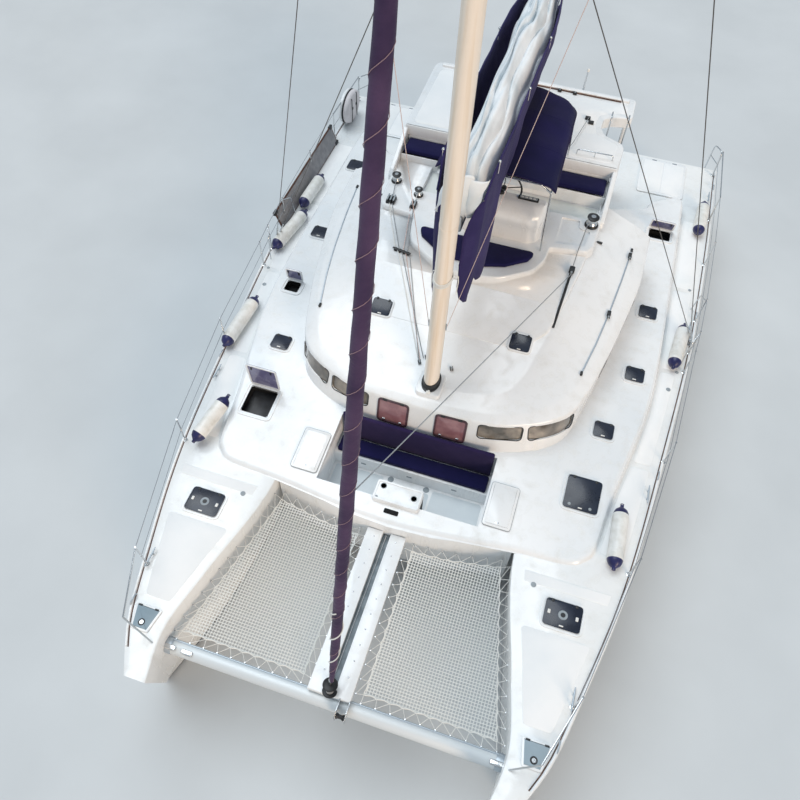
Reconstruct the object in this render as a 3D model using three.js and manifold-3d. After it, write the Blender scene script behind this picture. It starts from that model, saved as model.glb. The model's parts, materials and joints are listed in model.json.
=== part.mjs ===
// A cruising sailing catamaran of 15.5 m with a flybridge, afloat at anchor, in millimetres.
// X runs to port, Y to the stern and Z up, from the middle of the waterline.
import * as THREE from "three";
import { mergeVertices } from "three/addons/utils/BufferGeometryUtils.js";
import Module from "manifold-3d";

const wasm = await Module();
wasm.setup();

// Driving dimensions
const LENGTH = 15540;
const BOW_Y = -7700;
const STERN_Y = BOW_Y + LENGTH;
const HULL_AXIS = 3060; // from the centre plane to each hull's own, amidships
const GAP = 0.3; // between touching pieces
const DRAFT = 1400;
const SHEER = 1950; // hull deck above the water
const BRIDGE_UNDER = 850; // bridge deck's underside above the water
const SALOON_FLOOR = 1150;
const RAISED_DECK = 2200; // deck round the house
const RAMP = { from: -4480, to: -2330, low: 1985 }; // the raised deck's slope down to the foredeck
const WALL = 60; // house wall and roof
const GLASS = 15;
const CROSSBEAM_Y = -7080;
const CROSSBEAM_Z = 1530;
const NET_Z = 1600;
const NET_THICK = 12;
const MAST_Y = -2400;
const MAST_FOOT = 2900;
const MAST_TOP = 25200;
const MAST_RAKE = 0.035; // aft for each unit of height
const FORESTAY_TOP = 20400;
const BOOM_Z = 5620;
const BOOM_LENGTH = 6300;
const FLY_SOLE = 3450;
const COAMING_TOP = 4010;
const BIMINI_Z = 5330;

const SIDES = [["port", 1], ["starboard", -1]];

// Shape helpers
const v3 = (x, y, z) => new THREE.Vector3(x, y, z);

// A closed geometry as a manifold-3d solid, turned to face out where it came inside out.
function solid(geometry) {
  let bare = geometry.index ? geometry.toNonIndexed() : geometry.clone();
  bare.deleteAttribute("normal");
  bare.deleteAttribute("uv");
  bare = mergeVertices(bare, 1e-3);
  const build = (triVerts) =>
    new wasm.Manifold(
      new wasm.Mesh({ numProp: 3, vertProperties: bare.attributes.position.array, triVerts }),
    );
  const made = build(new Uint32Array(bare.index.array));
  if (made.volume() > 0) return made;
  return build(new Uint32Array(bare.index.array).reverse());
}

// A manifold-3d solid as a geometry.
function shape(made) {
  const mesh = made.getMesh();
  const positions = new Float32Array(mesh.numVert * 3);
  for (let i = 0; i < mesh.numVert; i++) {
    positions.set(mesh.vertProperties.subarray(i * mesh.numProp, i * mesh.numProp + 3), i * 3);
  }
  return new THREE.BufferGeometry()
    .setAttribute("position", new THREE.BufferAttribute(positions, 3))
    .setIndex(new THREE.BufferAttribute(mesh.triVerts, 1));
}

const join = (...parts) => parts.map(asSolid).reduce((a, b) => a.add(b));
const cut = (body, ...tools) => tools.reduce((a, b) => a.subtract(asSolid(b)), asSolid(body));
const common = (a, b) => asSolid(a).intersect(asSolid(b));
const asSolid = (part) => (part instanceof THREE.BufferGeometry ? solid(part) : part);

// The same solid on the other side of the centre plane where side is -1.
function onSide(part, side) {
  if (side > 0) return asSolid(part);
  return asSolid(part).mirror([1, 0, 0]);
}

// A box from one corner to the other.
function box(x0, y0, z0, x1, y1, z1) {
  return new THREE.BoxGeometry(x1 - x0, y1 - y0, z1 - z0).translate(
    (x0 + x1) / 2,
    (y0 + y1) / 2,
    (z0 + z1) / 2,
  );
}

// A plan outline between two heights.
function plate(outline, z0, z1) {
  const flat = new THREE.Shape(outline.map(([x, y]) => new THREE.Vector2(x, y)));
  return new THREE.ExtrudeGeometry(flat, { depth: z1 - z0, bevelEnabled: false }).translate(0, 0, z0);
}

// An outline in the YZ plane between two distances from the centre plane.
function sideways(outline, x0, x1) {
  const flat = new THREE.Shape(outline.map(([y, z]) => new THREE.Vector2(y, z)));
  const swing = new THREE.Matrix4().makeBasis(v3(0, 1, 0), v3(0, 0, 1), v3(1, 0, 0));
  return new THREE.ExtrudeGeometry(flat, { depth: x1 - x0, bevelEnabled: false })
    .applyMatrix4(swing)
    .translate(x0, 0, 0);
}

// A half outline completed by its mirror image across the centre plane.
function mirrored(half) {
  const back = half.filter(([x]) => x !== 0).map(([x, y]) => [-x, y]).reverse();
  return [...half, ...back];
}

// A skin through rings of equal length, closed by a cap at each end. Caps are cut up in the plane given by
// pick, or into the faces given.
function loft(rings, pick = (p) => [p[0], p[1]], faces = null) {
  const count = rings[0].length;
  const positions = rings.flat(2);
  const index = [];
  for (let r = 0; r + 1 < rings.length; r++) {
    for (let i = 0; i < count; i++) {
      const a = r * count + i;
      const b = r * count + ((i + 1) % count);
      index.push(a, b, a + count, b, b + count, a + count);
    }
  }
  for (const [ring, flip] of [[0, true], [rings.length - 1, false]]) {
    const flat = rings[ring].map((p) => new THREE.Vector2(...pick(p)));
    const turned = THREE.ShapeUtils.area(flat) < 0;
    for (const [a, b, c] of faces ?? THREE.ShapeUtils.triangulateShape(flat, [])) {
      const face = [a, b, c].map((i) => i + ring * count);
      index.push(...(flip !== turned ? face.reverse() : face));
    }
  }
  return new THREE.BufferGeometry()
    .setAttribute("position", new THREE.BufferAttribute(new Float32Array(positions), 3))
    .setIndex(index);
}

const inXZ = (p) => [p[0], p[2]];
const inXY = (p) => [p[0], p[1]];

// Faces straight across an outline whose two halves mirror each other, so that a roof is flat from side to side.
function acrossFaces(count) {
  const faces = [[0, 1, count - 1]];
  for (let i = 1; i < count / 2 - 1; i++) {
    faces.push([i, i + 1, count - i], [i + 1, count - i - 1, count - i]);
  }
  faces.push([count / 2 - 1, count / 2, count / 2 + 1]);
  return faces;
}

// A round bar through points.
function bar(points, radius, sides = 8, steps = 1) {
  const path = new THREE.CurvePath();
  points.slice(1).forEach((p, i) => path.add(new THREE.LineCurve3(v3(...points[i]), v3(...p))));
  const ring = new THREE.Shape();
  ring.absarc(0, 0, radius, 0, 2 * Math.PI);
  const round = new THREE.Shape(ring.getPoints(sides / 2).slice(0, -1));
  const parts = path.curves.map((curve) =>
    new THREE.ExtrudeGeometry(round, { steps, curveSegments: sides, bevelEnabled: false, extrudePath: curve }),
  );
  return parts;
}

// Bars that meet, with a ball at each inner corner.
function rail(points, radius, sides = 8) {
  const balls = points.slice(1, -1).map((p) => ball(p, radius * 1.02));
  return join(...bar(points, radius, sides), ...balls);
}

const ball = ([x, y, z], radius) => new THREE.SphereGeometry(radius, 8, 6).translate(x, y, z);

// An upright round post between two heights.
function post(x, y, z0, z1, r0, r1 = r0, sides = 12) {
  return new THREE.CylinderGeometry(r1, r0, z1 - z0, sides)
    .rotateX(Math.PI / 2)
    .translate(x, y, (z0 + z1) / 2);
}

// Materials
const FINISHES = {
  gelcoat: [0xf2f3f2, 0.35, 0],
  nonSkid: [0xd9dee0, 0.8, 0],
  antifouling: [0x24303c, 0.8, 0],
  alloy: [0xc9ccd0, 0.4, 0.8],
  creamMast: [0xeadcc8, 0.45, 0.2],
  steel: [0xb9bcc0, 0.25, 1],
  navyCloth: [0x1d1f45, 0.9, 0],
  sailcloth: [0xdfe6e9, 0.7, 0],
  net: [0xe6e2d5, 0.9, 0],
  darkAcrylic: [0x1b2233, 0.15, 0],
  tintedGlass: [0x4d4a44, 0.1, 0],
  blackPlastic: [0x202225, 0.5, 0],
  iron: [0x4a4d50, 0.6, 0.6],
  bronze: [0x8d6c3a, 0.4, 0.9],
};
const boat = new THREE.Group();

// A named piece in the boat's own frame.
function piece(name, part, finish) {
  const [color, roughness, metalness] = FINISHES[finish];
  const material = new THREE.MeshStandardMaterial({ color, roughness, metalness });
  const mesh = new THREE.Mesh(shape(asSolid(part)), material);
  mesh.name = name;
  boat.add(mesh);
}

// Hulls
// Each station: y of the deck, of the waterline and of the keel line, the hull's own axis, the keel line's height,
// half the waterline's breadth, and the deck's outer and inner edge.
const HULL_STATIONS = [
  [BOW_Y, -7290, -7080, 2770, -300, 25, 2660, 2330],
  [-7000, -6800, -6650, 2780, -480, 190, 3010, 2440],
  [-6000, -5930, -5830, 2810, -600, 430, 3280, 2250],
  [-4300, -4300, -4300, 2900, -680, 690, 3650, 1920],
  [-2000, -2000, -2000, 2990, -720, 830, 3920, 1900],
  [1000, 1000, 1000, HULL_AXIS, -720, 850, 4180, 1900],
  [4000, 4000, 4000, 3090, -600, 820, 4260, 1900],
  [5950, 5950, 5950, 3100, -420, 780, 4260, 2000],
  [7000, 7000, 7000, 3100, -300, 740, 4200, 2080],
  [STERN_Y, STERN_Y, STERN_Y, 3100, -150, 700, 4120, 2120],
];
const STEPS_FROM = 5950; // stern steps begin here
const STERN_SHEER = 620; // the side wings' height at the very stern
const KNUCKLE = 850; // where the topsides change their slope

function hullSection([yDeck, yWater, yKeel, axis, keel, half, outer, inner]) {
  const sheer =
    yDeck <= STEPS_FROM
      ? SHEER
      : SHEER + ((STERN_SHEER - SHEER) * (yDeck - STEPS_FROM)) / (STERN_Y - STEPS_FROM);
  const y = (z) =>
    z >= 0 ? yWater + ((yDeck - yWater) * z) / sheer : yWater + ((yKeel - yWater) * z) / keel;
  const knuckle = Math.min(KNUCKLE, sheer - 100);
  const bilge = keel * 0.55;
  return [
    [axis, keel],
    [axis + half * 0.74, bilge],
    [axis + half, 0],
    [axis + half + (outer - axis - half) * 0.72, knuckle],
    [outer, sheer],
    [inner, sheer],
    [axis - half + (inner - axis + half) * 0.75, knuckle],
    [axis - half, 0],
    [axis - half * 0.74, bilge],
  ].map(([x, z]) => [x, y(z), z]);
}

const plainHull = solid(loft(HULL_STATIONS.map(hullSection), inXZ));

// Stern steps: each one's front edge and height.
const STERN_STEPS = [
  [5950, 1640],
  [6250, 1330],
  [6550, 1020],
  [6850, 710],
  [7150, 400],
];
const stepWells = STERN_STEPS.map(([y, z]) => box(2420, y, z, 3900, STERN_Y + 50, SHEER + 50));

// Engine rooms, each with a plain block of an engine and a lid on a rim of the stern deck
const ENGINE_Y = [4700, 5800];
const ENGINE_X = [2660, 3540];
const ENGINE_FLOOR = -180;

// Height and slope of the deck at a place along the boat, ahead of the stern deck
const RAMP_SLOPE = (RAISED_DECK - RAMP.low) / (RAMP.to - RAMP.from);
const raisedZ = (y) => RAISED_DECK - Math.max(0, RAMP.to - y) * RAMP_SLOPE;

// A part made about the origin on a level deck, set down on the deck at x, y: on the raised deck or the hull's own.
function onDeck(part, x, y, raised) {
  const sloping = raised && y < RAMP.to;
  const turned = asSolid(part).rotate([sloping ? (Math.atan(RAMP_SLOPE) * 180) / Math.PI : 0, 0, 0]);
  return turned.translate([x, y, raised ? raisedZ(y) : SHEER]);
}

// Deck hatches: name, x and y of the middle, width, length, and whether it is on the raised deck
const HATCHES = [
  ["vent_hatch", 2785, -5060, 540, 400, false],
  ["mid_hatch", 2710, -3165, 540, 560, true],
  ["fore_hatch", 2830, -1950, 330, 310, true],
  ["waist_hatch", 3170, -640, 330, 310, true],
  ["side_hatch", 3220, 880, 330, 310, true],
  ["aft_hatch", 3200, 3080, 480, 330, true],
];
const HATCH_WELL = 420; // deep under each hatch
const HATCH_RIM = 35; // the frame's breadth inside the lid's edge
function hatchWell([, x, y, w, l, raised]) {
  const half = [w / 2 - HATCH_RIM, l / 2 - HATCH_RIM];
  return onDeck(box(-half[0], -half[1], -HATCH_WELL, half[0], half[1], 50), x, y, raised);
}

// Every lid rests on a low rim round its well.
const LID_LIFT = 8;
const LID_DEEP = 24;
const hatchRim = ([, x, y, w, l, raised]) =>
  onDeck(box(12 - w / 2, 12 - l / 2, -10, w / 2 - 12, l / 2 - 14, LID_LIFT - GAP), x, y, raised);

// The bow lockers' lids and wells
const BOW_LID = [
  [2570, -6760],
  [2630, -7110],
  [2890, -7110],
  [2980, -6760],
];
const shrunkBowLid = (share) => BOW_LID.map(([x, y]) => [2770 + (x - 2770) * share, -6935 + (y + 6935) * share]);
const bowWell = plate(shrunkBowLid(0.8), SHEER - 500, SHEER + 10);
const bowRim = plate(shrunkBowLid(0.92), SHEER - 1, SHEER + LID_LIFT - GAP);

const RUDDER_Y = 6620;
const RUDDER_X = 3100;
const STOCK = 32;
const rudderBore = post(RUDDER_X, RUDDER_Y, -600, 200, STOCK + 10);
const engineRoom = box(ENGINE_X[0], ENGINE_Y[0], ENGINE_FLOOR, ENGINE_X[1], ENGINE_Y[1], SHEER + 50);
const engineRim = box(
  ENGINE_X[0] - 30,
  ENGINE_Y[0] - 30,
  SHEER - 1,
  ENGINE_X[1] + 30,
  ENGINE_Y[1] + 30,
  SHEER + LID_LIFT - GAP,
);
const hullWells = HATCHES.map(hatchWell);
const openHull = cut(
  join(plainHull, bowRim, engineRim, hatchRim(HATCHES[0])),
  ...stepWells,
  engineRoom,
  bowWell,
  rudderBore,
  ...hullWells,
);

// Stub keels
const KEEL_FROM = -1000;
const KEEL_TO = 1700;
const keelAt = (z, x, from, to, half) => [
  [x, from, z],
  [x + half, from + (to - from) * 0.3, z],
  [x + half * 0.8, from + (to - from) * 0.6, z],
  [x, to, z],
  [x - half * 0.8, from + (to - from) * 0.6, z],
  [x - half, from + (to - from) * 0.3, z],
];
const rawKeel = loft([
  keelAt(-DRAFT, HULL_AXIS - 20, KEEL_FROM + 350, KEEL_TO - 150, 110),
  keelAt(-400, HULL_AXIS - 20, KEEL_FROM, KEEL_TO, 170),
]);
const liftedHull = plainHull.translate([0, 0, -GAP]);
const hull = join(openHull, rawKeel);
for (const [side, sign] of SIDES) piece("hull_" + side, onSide(hull, sign), "gelcoat");

// Saildrives and propellers
const DRIVE_Y = 4300;
const DRIVE_X = 3095;
const SHAFT_Z = -1060;
const PROP_Y = 4660;
const PROP_RADIUS = 250;
const driveLeg = join(
  loft([
    keelAt(SHAFT_Z, DRIVE_X, DRIVE_Y - 110, DRIVE_Y + 150, 40),
    keelAt(-350, DRIVE_X, DRIVE_Y - 200, DRIVE_Y + 190, 55),
  ]),
  new THREE.CapsuleGeometry(75, 330, 4, 12).translate(DRIVE_X, DRIVE_Y + 20, SHAFT_Z),
);
const drive = cut(driveLeg, liftedHull);
const blade = new THREE.BoxGeometry(92, 14, PROP_RADIUS - 40)
  .translate(0, 0, (PROP_RADIUS + 20) / 2)
  .rotateZ(0.5);
const hub = new THREE.CylinderGeometry(48, 60, 120, 12);
const propeller = join(
  hub,
  ...[0, 1, 2].map((i) => blade.clone().rotateY((i * 2 * Math.PI) / 3)),
).translate([DRIVE_X, PROP_Y, SHAFT_Z]);
const engine = box(
  ENGINE_X[0] + 130,
  ENGINE_Y[0] + 120,
  ENGINE_FLOOR + 20,
  ENGINE_X[1] - 130,
  ENGINE_Y[1] - 130,
  ENGINE_FLOOR + 690,
);
const engineFeet = box(
  ENGINE_X[0] + 180,
  ENGINE_Y[0] + 200,
  ENGINE_FLOOR + GAP,
  ENGINE_X[1] - 180,
  ENGINE_Y[1] - 200,
  ENGINE_FLOOR + 40,
);
const engineLid = box(
  ENGINE_X[0] - 52,
  ENGINE_Y[0] - 52,
  SHEER + LID_LIFT,
  ENGINE_X[1] + 52,
  ENGINE_Y[1] + 52,
  SHEER + LID_LIFT + 24,
);

// Rudders
const rudderAt = (z, from, to, half) => keelAt(z, RUDDER_X, RUDDER_Y + from, RUDDER_Y + to, half);
const rudder = join(
  loft([rudderAt(-1280, -120, 300, 28), rudderAt(-430, -170, 380, 42)]),
  post(RUDDER_X, RUDDER_Y, -440, 180, STOCK),
);

for (const [side, sign] of SIDES) {
  piece("saildrive_" + side, onSide(drive, sign), "alloy");
  piece("propeller_" + side, onSide(propeller, sign), "bronze");
  piece("engine_" + side, onSide(join(engine, engineFeet), sign), "iron");
  piece("engine_lid_" + side, onSide(engineLid, sign), "nonSkid");
  piece("rudder_" + side, onSide(rudder, sign), "antifouling");
}

// Bridge deck between the hulls, with the forward cockpit's well
const BRIDGE_FRONT = -4560;
const COCKPIT_AFT = 5950;
const WELL = { half: 1310, front: -4150, back: -2960, floor: 1330 };
const bridgeSides = [
  [0, BRIDGE_FRONT],
  [700, BRIDGE_FRONT + 40],
  [1900 - GAP, -4300],
  [1900 - GAP, COCKPIT_AFT],
];
const bridgeBlock = solid(plate(mirrored(bridgeSides), BRIDGE_UNDER, SHEER));
const saloonRoom = box(-1840, -2550, SALOON_FLOOR, 1840, COCKPIT_AFT + 10, SHEER + 10);
const WELL_SEAT = 1650;
const FRONT_CONSOLE = { from: -370, to: 380, front: -4240, back: -3880, top: 2090 };
const wellRoom = cut(
  box(-WELL.half, WELL.front, WELL.floor, WELL.half, WELL.back, SHEER + 10),
  box(-WELL.half - 1, -3400, WELL.floor - 1, WELL.half + 1, WELL.back + 1, WELL_SEAT),
  box(FRONT_CONSOLE.from, WELL.front - 1, WELL.floor - 1, FRONT_CONSOLE.to, FRONT_CONSOLE.back, SHEER + 20),
);
const LOCKER_LIDS = { in: 1345, out: 1780, front: -4090, back: -3370 };
const lockerWell = box(
  LOCKER_LIDS.in + 40,
  LOCKER_LIDS.front + 40,
  1500,
  LOCKER_LIDS.out - 40,
  LOCKER_LIDS.back - 40,
  RAISED_DECK + 10,
);
const aftBench = join(
  box(-1500, 5280, SALOON_FLOOR - 1, 1500, 5800, 1540),
  box(-1500, 5780, SALOON_FLOOR - 1, 1500, 5940, 1980),
);
const bridge = join(
  cut(bridgeBlock, wellRoom, saloonRoom, ...[1, -1].map((sign) => onSide(lockerWell, sign))),
  aftBench,
);
piece("bridge_deck", bridge, "gelcoat");

// House: a hollow shell round the saloon
// Each corner of half its outline, from the middle of the front aft: x and y at the foot,
// then x, y and height of the eave, of the shoulder over it, and of the roof's ridge.
const HOUSE_CORNERS = [
  [0, -2950, 0, -2830, 2740, 0, -2700, 2800, 0, -2420, 2860],
  [930, -2920, 930, -2800, 2740, 850, -2670, 2800, 620, -2400, 2865],
  [1650, -2740, 1640, -2600, 2740, 1500, -2480, 2815, 1080, -2250, 2900],
  [2220, RAMP.to, 2240, -2150, 2780, 2020, -2040, 2880, 1330, -1900, 2990],
  [2480, -1450, 2500, -1350, 2830, 2350, -1270, 2950, 1570, -1150, 3200],
  [2660, -350, 2710, -350, 2880, 2560, -330, 3010, 1740, -300, 3390],
  [2850, 1000, 2900, 1000, 2920, 2670, 1000, 3060, 1900, 1000, 3400],
  [2870, 2050, 2920, 2050, 2930, 2690, 2050, 3070, 1950, 2050, 3400],
];
const HOUSE_AFT = 2050;
const houseFoot = (inset) =>
  HOUSE_CORNERS.map(([x, y]) => [Math.max(x - inset, 0), y < -1000 ? y + inset : Math.min(y, HOUSE_AFT - inset)]);

// The house's skin moved inward by inset, from a height over the raised deck up to the roof.
function houseSkin(inset, foot, aft) {
  const level = (pick) => {
    const half = HOUSE_CORNERS.map((corner) => {
      const [x, y, z] = pick(corner);
      return [x === 0 ? 0 : x - inset, y < -1000 ? y + inset : Math.min(y, aft), z];
    });
    const back = half.filter(([x]) => x !== 0).map(([x, y, z]) => [-x, y, z]).reverse();
    const middleAft = [0, half.at(-1)[1], half.at(-1)[2]];
    return [...half, middleAft, ...back];
  };
  const levels = [
    level(([x, y]) => [x, y, raisedZ(y) + foot]),
    level((corner) => [corner[2], corner[3], corner[4] - inset * 0.4]),
    level((corner) => [corner[5], corner[6], corner[7] - inset]),
    level((corner) => [corner[8], corner[9], corner[10] - inset]),
  ];
  return loft(levels, inXY, acrossFaces(levels[0].length));
}

// Raised deck round the house, resting on the hulls and the bridge deck
const RAISED_EDGE = [
  [0, -4480],
  [700, -4440],
  [1900, -4310],
  [2700, -4260],
  [2940, -4130],
  [3060, -3900],
  [3160, -3070],
  [3320, -2230],
  [3490, -1250],
  [3570, 0],
  [3590, 3100],
  [3590, 4480],
  [3540, 4560],
  [2890, 4100],
  [2880, 3850],
  [1840, 3480],
];
const rampTool = sideways(
  [
    [RAMP.from - 50, raisedZ(RAMP.from - 50)],
    [RAMP.to, RAISED_DECK],
    [RAMP.to, RAISED_DECK + 200],
    [RAMP.from - 50, RAISED_DECK + 200],
  ],
  -4000,
  4000,
);
const raisedPlain = cut(plate(mirrored(RAISED_EDGE), SHEER + GAP, RAISED_DECK), rampTool);
// Locker lid's outline about its middle
const LOCKER_MIDDLE = [(LOCKER_LIDS.in + LOCKER_LIDS.out) / 2, (LOCKER_LIDS.front + LOCKER_LIDS.back) / 2];
const LOCKER_HALF = [(LOCKER_LIDS.out - LOCKER_LIDS.in) / 2, (LOCKER_LIDS.back - LOCKER_LIDS.front) / 2];
const lockerBox = (margin, z0, z1) =>
  onDeck(
    box(
      margin - LOCKER_HALF[0],
      margin - LOCKER_HALF[1],
      z0,
      LOCKER_HALF[0] - margin,
      LOCKER_HALF[1] - margin,
      z1,
    ),
    ...LOCKER_MIDDLE,
    true,
  );
const deckRims = [lockerBox(15, -10, LID_LIFT - GAP), ...HATCHES.slice(1).map(hatchRim)];
const raised = cut(
  join(raisedPlain, ...[1, -1].flatMap((sign) => deckRims.map((rim) => onSide(rim, sign)))),
  box(-WELL.half, WELL.front, SHEER - 10, WELL.half, WELL.back, RAISED_DECK + 10),
  plate(mirrored(houseFoot(120)), SHEER - 10, RAISED_DECK + 10),
  box(-1840, 1500, SHEER - 10, 1840, 3900, RAISED_DECK + 10),
  ...[1, -1].map((sign) => onSide(lockerWell, sign)),
  ...[1, -1].flatMap((sign) => HATCHES.slice(1).map((hatch) => onSide(hatchWell(hatch), sign))),
);
const frontConsole = box(
  FRONT_CONSOLE.from,
  FRONT_CONSOLE.front,
  SHEER + GAP,
  FRONT_CONSOLE.to,
  FRONT_CONSOLE.back,
  FRONT_CONSOLE.top,
);
piece("raised_deck", join(raised, frontConsole), "gelcoat");

// Windows in the house's wall: x and y of the middle, the wall's bearing, width, sill and head
const WINDOWS = [
  [475, -2880, 0.02, 510, 2220, 2700],
  [1250, -2800, 0.19, 700, 2410, 2700],
  [1990, -2400, 0.72, 800, 2400, 2700],
  [2690, -450, 1.4, 1300, 2400, 2760],
  [2870, 1050, 1.55, 1300, 2400, 2800],
];
const windowTool = ([x, y, bearing, width, sill, head]) =>
  box(-width / 2, -330, sill, width / 2, 330, head).rotateZ(bearing).translate(x, y, 0);
const stepBox = (z0, z1) => box(-190, MAST_Y - 250, z0, 190, MAST_Y + 250, z1);
const DOOR_ROOM = [-1840, HOUSE_AFT - 300, 1000, 1840, HOUSE_AFT + 100, 3240];
const bothSides = (made) => [onSide(made, 1), onSide(made, -1)];
const house = cut(
  join(houseSkin(0, GAP, HOUSE_AFT), stepBox(2700, MAST_FOOT)),
  stepBox(MAST_FOOT, MAST_FOOT + 100),
  houseSkin(WALL, -20, HOUSE_AFT - WALL),
  box(...DOOR_ROOM),
  ...WINDOWS.flatMap((window) => bothSides(windowTool(window))),
);
piece("house", house, "gelcoat");

// Saloon glass: one band behind the windows, round the front and along both sides
const bandTool = box(-3000, -3200, 2210, 3000, HOUSE_AFT - 200, 2860);
const glassBand = common(
  cut(houseSkin(WALL + 1, -20, HOUSE_AFT), houseSkin(WALL + GLASS, -20, HOUSE_AFT)),
  bandTool,
);
piece("saloon_glass", glassBand, "tintedGlass");

// Aft bulkhead of the saloon with the doorway, and its sliding door
const DOORWAY = { from: -430, to: 430, sill: 1200, head: 3080 };
const BULKHEAD = { front: HOUSE_AFT - 54, back: HOUSE_AFT - 4 };
const beyond = [BULKHEAD.front - 150, BULKHEAD.back + 100];
const bulkhead = cut(
  box(-1839.5, BULKHEAD.front, SALOON_FLOOR + GAP, 1839.5, BULKHEAD.back, 3239.5),
  box(DOORWAY.from, beyond[0], DOORWAY.sill, DOORWAY.to, beyond[1], DOORWAY.head),
  box(620, beyond[0], 2000, 1680, beyond[1], 3000),
  box(-1680, beyond[0], 2000, -620, beyond[1], 3000),
);
piece("aft_bulkhead", bulkhead, "gelcoat");
const aftGlass = cut(
  box(-1750, BULKHEAD.back + GAP, 1950, 1750, BULKHEAD.back + GLASS, 3180),
  box(DOORWAY.from - 100, beyond[0], 1900, DOORWAY.to + 100, beyond[1], DOORWAY.head + 20),
);
piece("aft_glass", aftGlass, "tintedGlass");
const DOOR_GAP = 6;
const DOOR_TRAVEL = 900;
const DOOR_Y = [BULKHEAD.front - 46, BULKHEAD.front - DOOR_GAP];
const pane = [DOOR_Y[0] + 17, DOOR_Y[0] + 27];
const doorFrame = cut(
  box(DOORWAY.from - 60, DOOR_Y[0], SALOON_FLOOR + 8, DOORWAY.to + 60, DOOR_Y[1], DOORWAY.head + 40),
  box(DOORWAY.from + 20, beyond[0], DOORWAY.sill + 60, DOORWAY.to - 20, pane[0], DOORWAY.head - 40),
  box(DOORWAY.from + 20, pane[1], DOORWAY.sill + 60, DOORWAY.to - 20, beyond[1], DOORWAY.head - 40),
);
piece("saloon_door", doorFrame.translate([-DOOR_TRAVEL, 0, 0]), "tintedGlass");

// Saloon furniture: galley to port, settee and table to starboard, on one low plinth
const furniture = join(
  box(-1780, -2300, SALOON_FLOOR + GAP, 1780, -900, SALOON_FLOOR + 60),
  box(1150, -2300, SALOON_FLOOR + 30, 1780, 1500, 2040),
  box(-1780, -2300, SALOON_FLOOR + 30, -1200, 1400, 1580),
  box(-1780, -2300, SALOON_FLOOR + 30, 300, -1750, 1580),
  box(-1790, -2310, SALOON_FLOOR + 30, -1650, 1400, 2000),
  box(-560, -1200, SALOON_FLOOR + 30, -440, -1080, 1850),
  box(-1000, -1500, 1840, -60, -300, 1880),
);
piece("saloon_furniture", furniture, "gelcoat");

// Flybridge moulding on the roof, with the helm's well, seats, coamings and the aft deck over the cockpit
const SHELF_Z = 3560;
const APRON_Z = 3470; // the roof's raised middle, which ramps up to the shelf
const apron = common(
  plate(
    mirrored([
      [0, -1500],
      [1280, -1450],
      [1560, -1080],
      [1720, -300],
      [1860, 800],
      [1920, 1500],
      [1930, 2040],
      [0, 2040],
    ]),
    2900,
    APRON_Z,
  ),
  sideways([[-1600, 3075], [-450, APRON_Z], [2050, APRON_Z], [2050, 3200], [-1600, 2950]], -2000, 2000),
);
const shelf = plate(
  mirrored([
    [0, -640],
    [560, -520],
    [1050, -170],
    [1190, 150],
    [1210, 470],
    [1820, 560],
    [1910, 720],
    [1940, 1450],
    [1940, 2040],
    [0, 2040],
  ]),
  3200,
  SHELF_Z,
);
const portPanel = plate(
  [[1260, 600], [1760, 680], [1800, 1060], [1600, 1120], [1580, 1300], [1260, 1300]],
  SHELF_Z - 30,
  SHELF_Z + 10,
);
// Side coamings, rising aft: y and z
const coaming = sideways(
  [[1380, 3330], [1380, 3540], [1480, 3620], [1860, 3770], [2300, 3960], [3060, 3990], [3060, 3700], [2400, 3330]],
  1905,
  1995,
);
const AFT_DECK_Z = 3800;
const aftDeck = plate(
  [
    [1960, 2300],
    [2000, 2950],
    [1950, 3070],
    [1780, 3160],
    [1600, 3260],
    [1530, 3380],
    [1510, 3600],
    [1570, 3750],
    [1720, 3840],
    [1980, 3930],
    [2030, 4010],
    [2030, 4480],
    [1950, 4590],
    [-1780, 4590],
    [-1930, 4520],
    [-2010, 4350],
    [-1960, 2300],
  ],
  AFT_DECK_Z,
  COAMING_TOP,
);
const SEAT_Y = [1860, 2300];
const flySeat = box(-1900, SEAT_Y[0], 3300, 1900, SEAT_Y[1] + 100, 3700);
const flyAftWall = box(-1880, 2300, 3300, 1880, 2420, AFT_DECK_Z + 10);
const helmWell = join(
  box(-1280, 1140, FLY_SOLE, 950, SEAT_Y[0], 4200),
  box(-500, 760, FLY_SOLE, 950, SEAT_Y[0], 4200),
  box(900, 1370, FLY_SOLE, 1860, SEAT_Y[0], 4200),
);
const WINCH_AT = [1780, 1250];
const INNER_WINCH_AT = [-1290, 1010];
const winchPost = (x, y, z) =>
  join(post(x, y, z - 20, z + 50, 95, 85), post(x, y, z + 40, z + 110, 60), post(x, y, z + 100, z + 150, 82, 75));
const flySolid = join(
  apron,
  cut(shelf, portPanel),
  ...bothSides(coaming),
  aftDeck,
  flySeat,
  flyAftWall,
  ...bothSides(winchPost(...WINCH_AT, SHELF_Z)),
  winchPost(...INNER_WINCH_AT, SHELF_Z),
  ...bothSides(box(1915, 4300, SHEER + GAP, 2005, 4520, AFT_DECK_Z + 10)),
  box(-1900, 4440, COAMING_TOP - 1, 1900, 4480, COAMING_TOP + 38),
  box(-70, 4425, COAMING_TOP - 1, 70, 4495, COAMING_TOP + 95),
);
const roofAbove = solid(houseSkin(-GAP, GAP, HOUSE_AFT)).translate([0, 0, GAP]);
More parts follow.
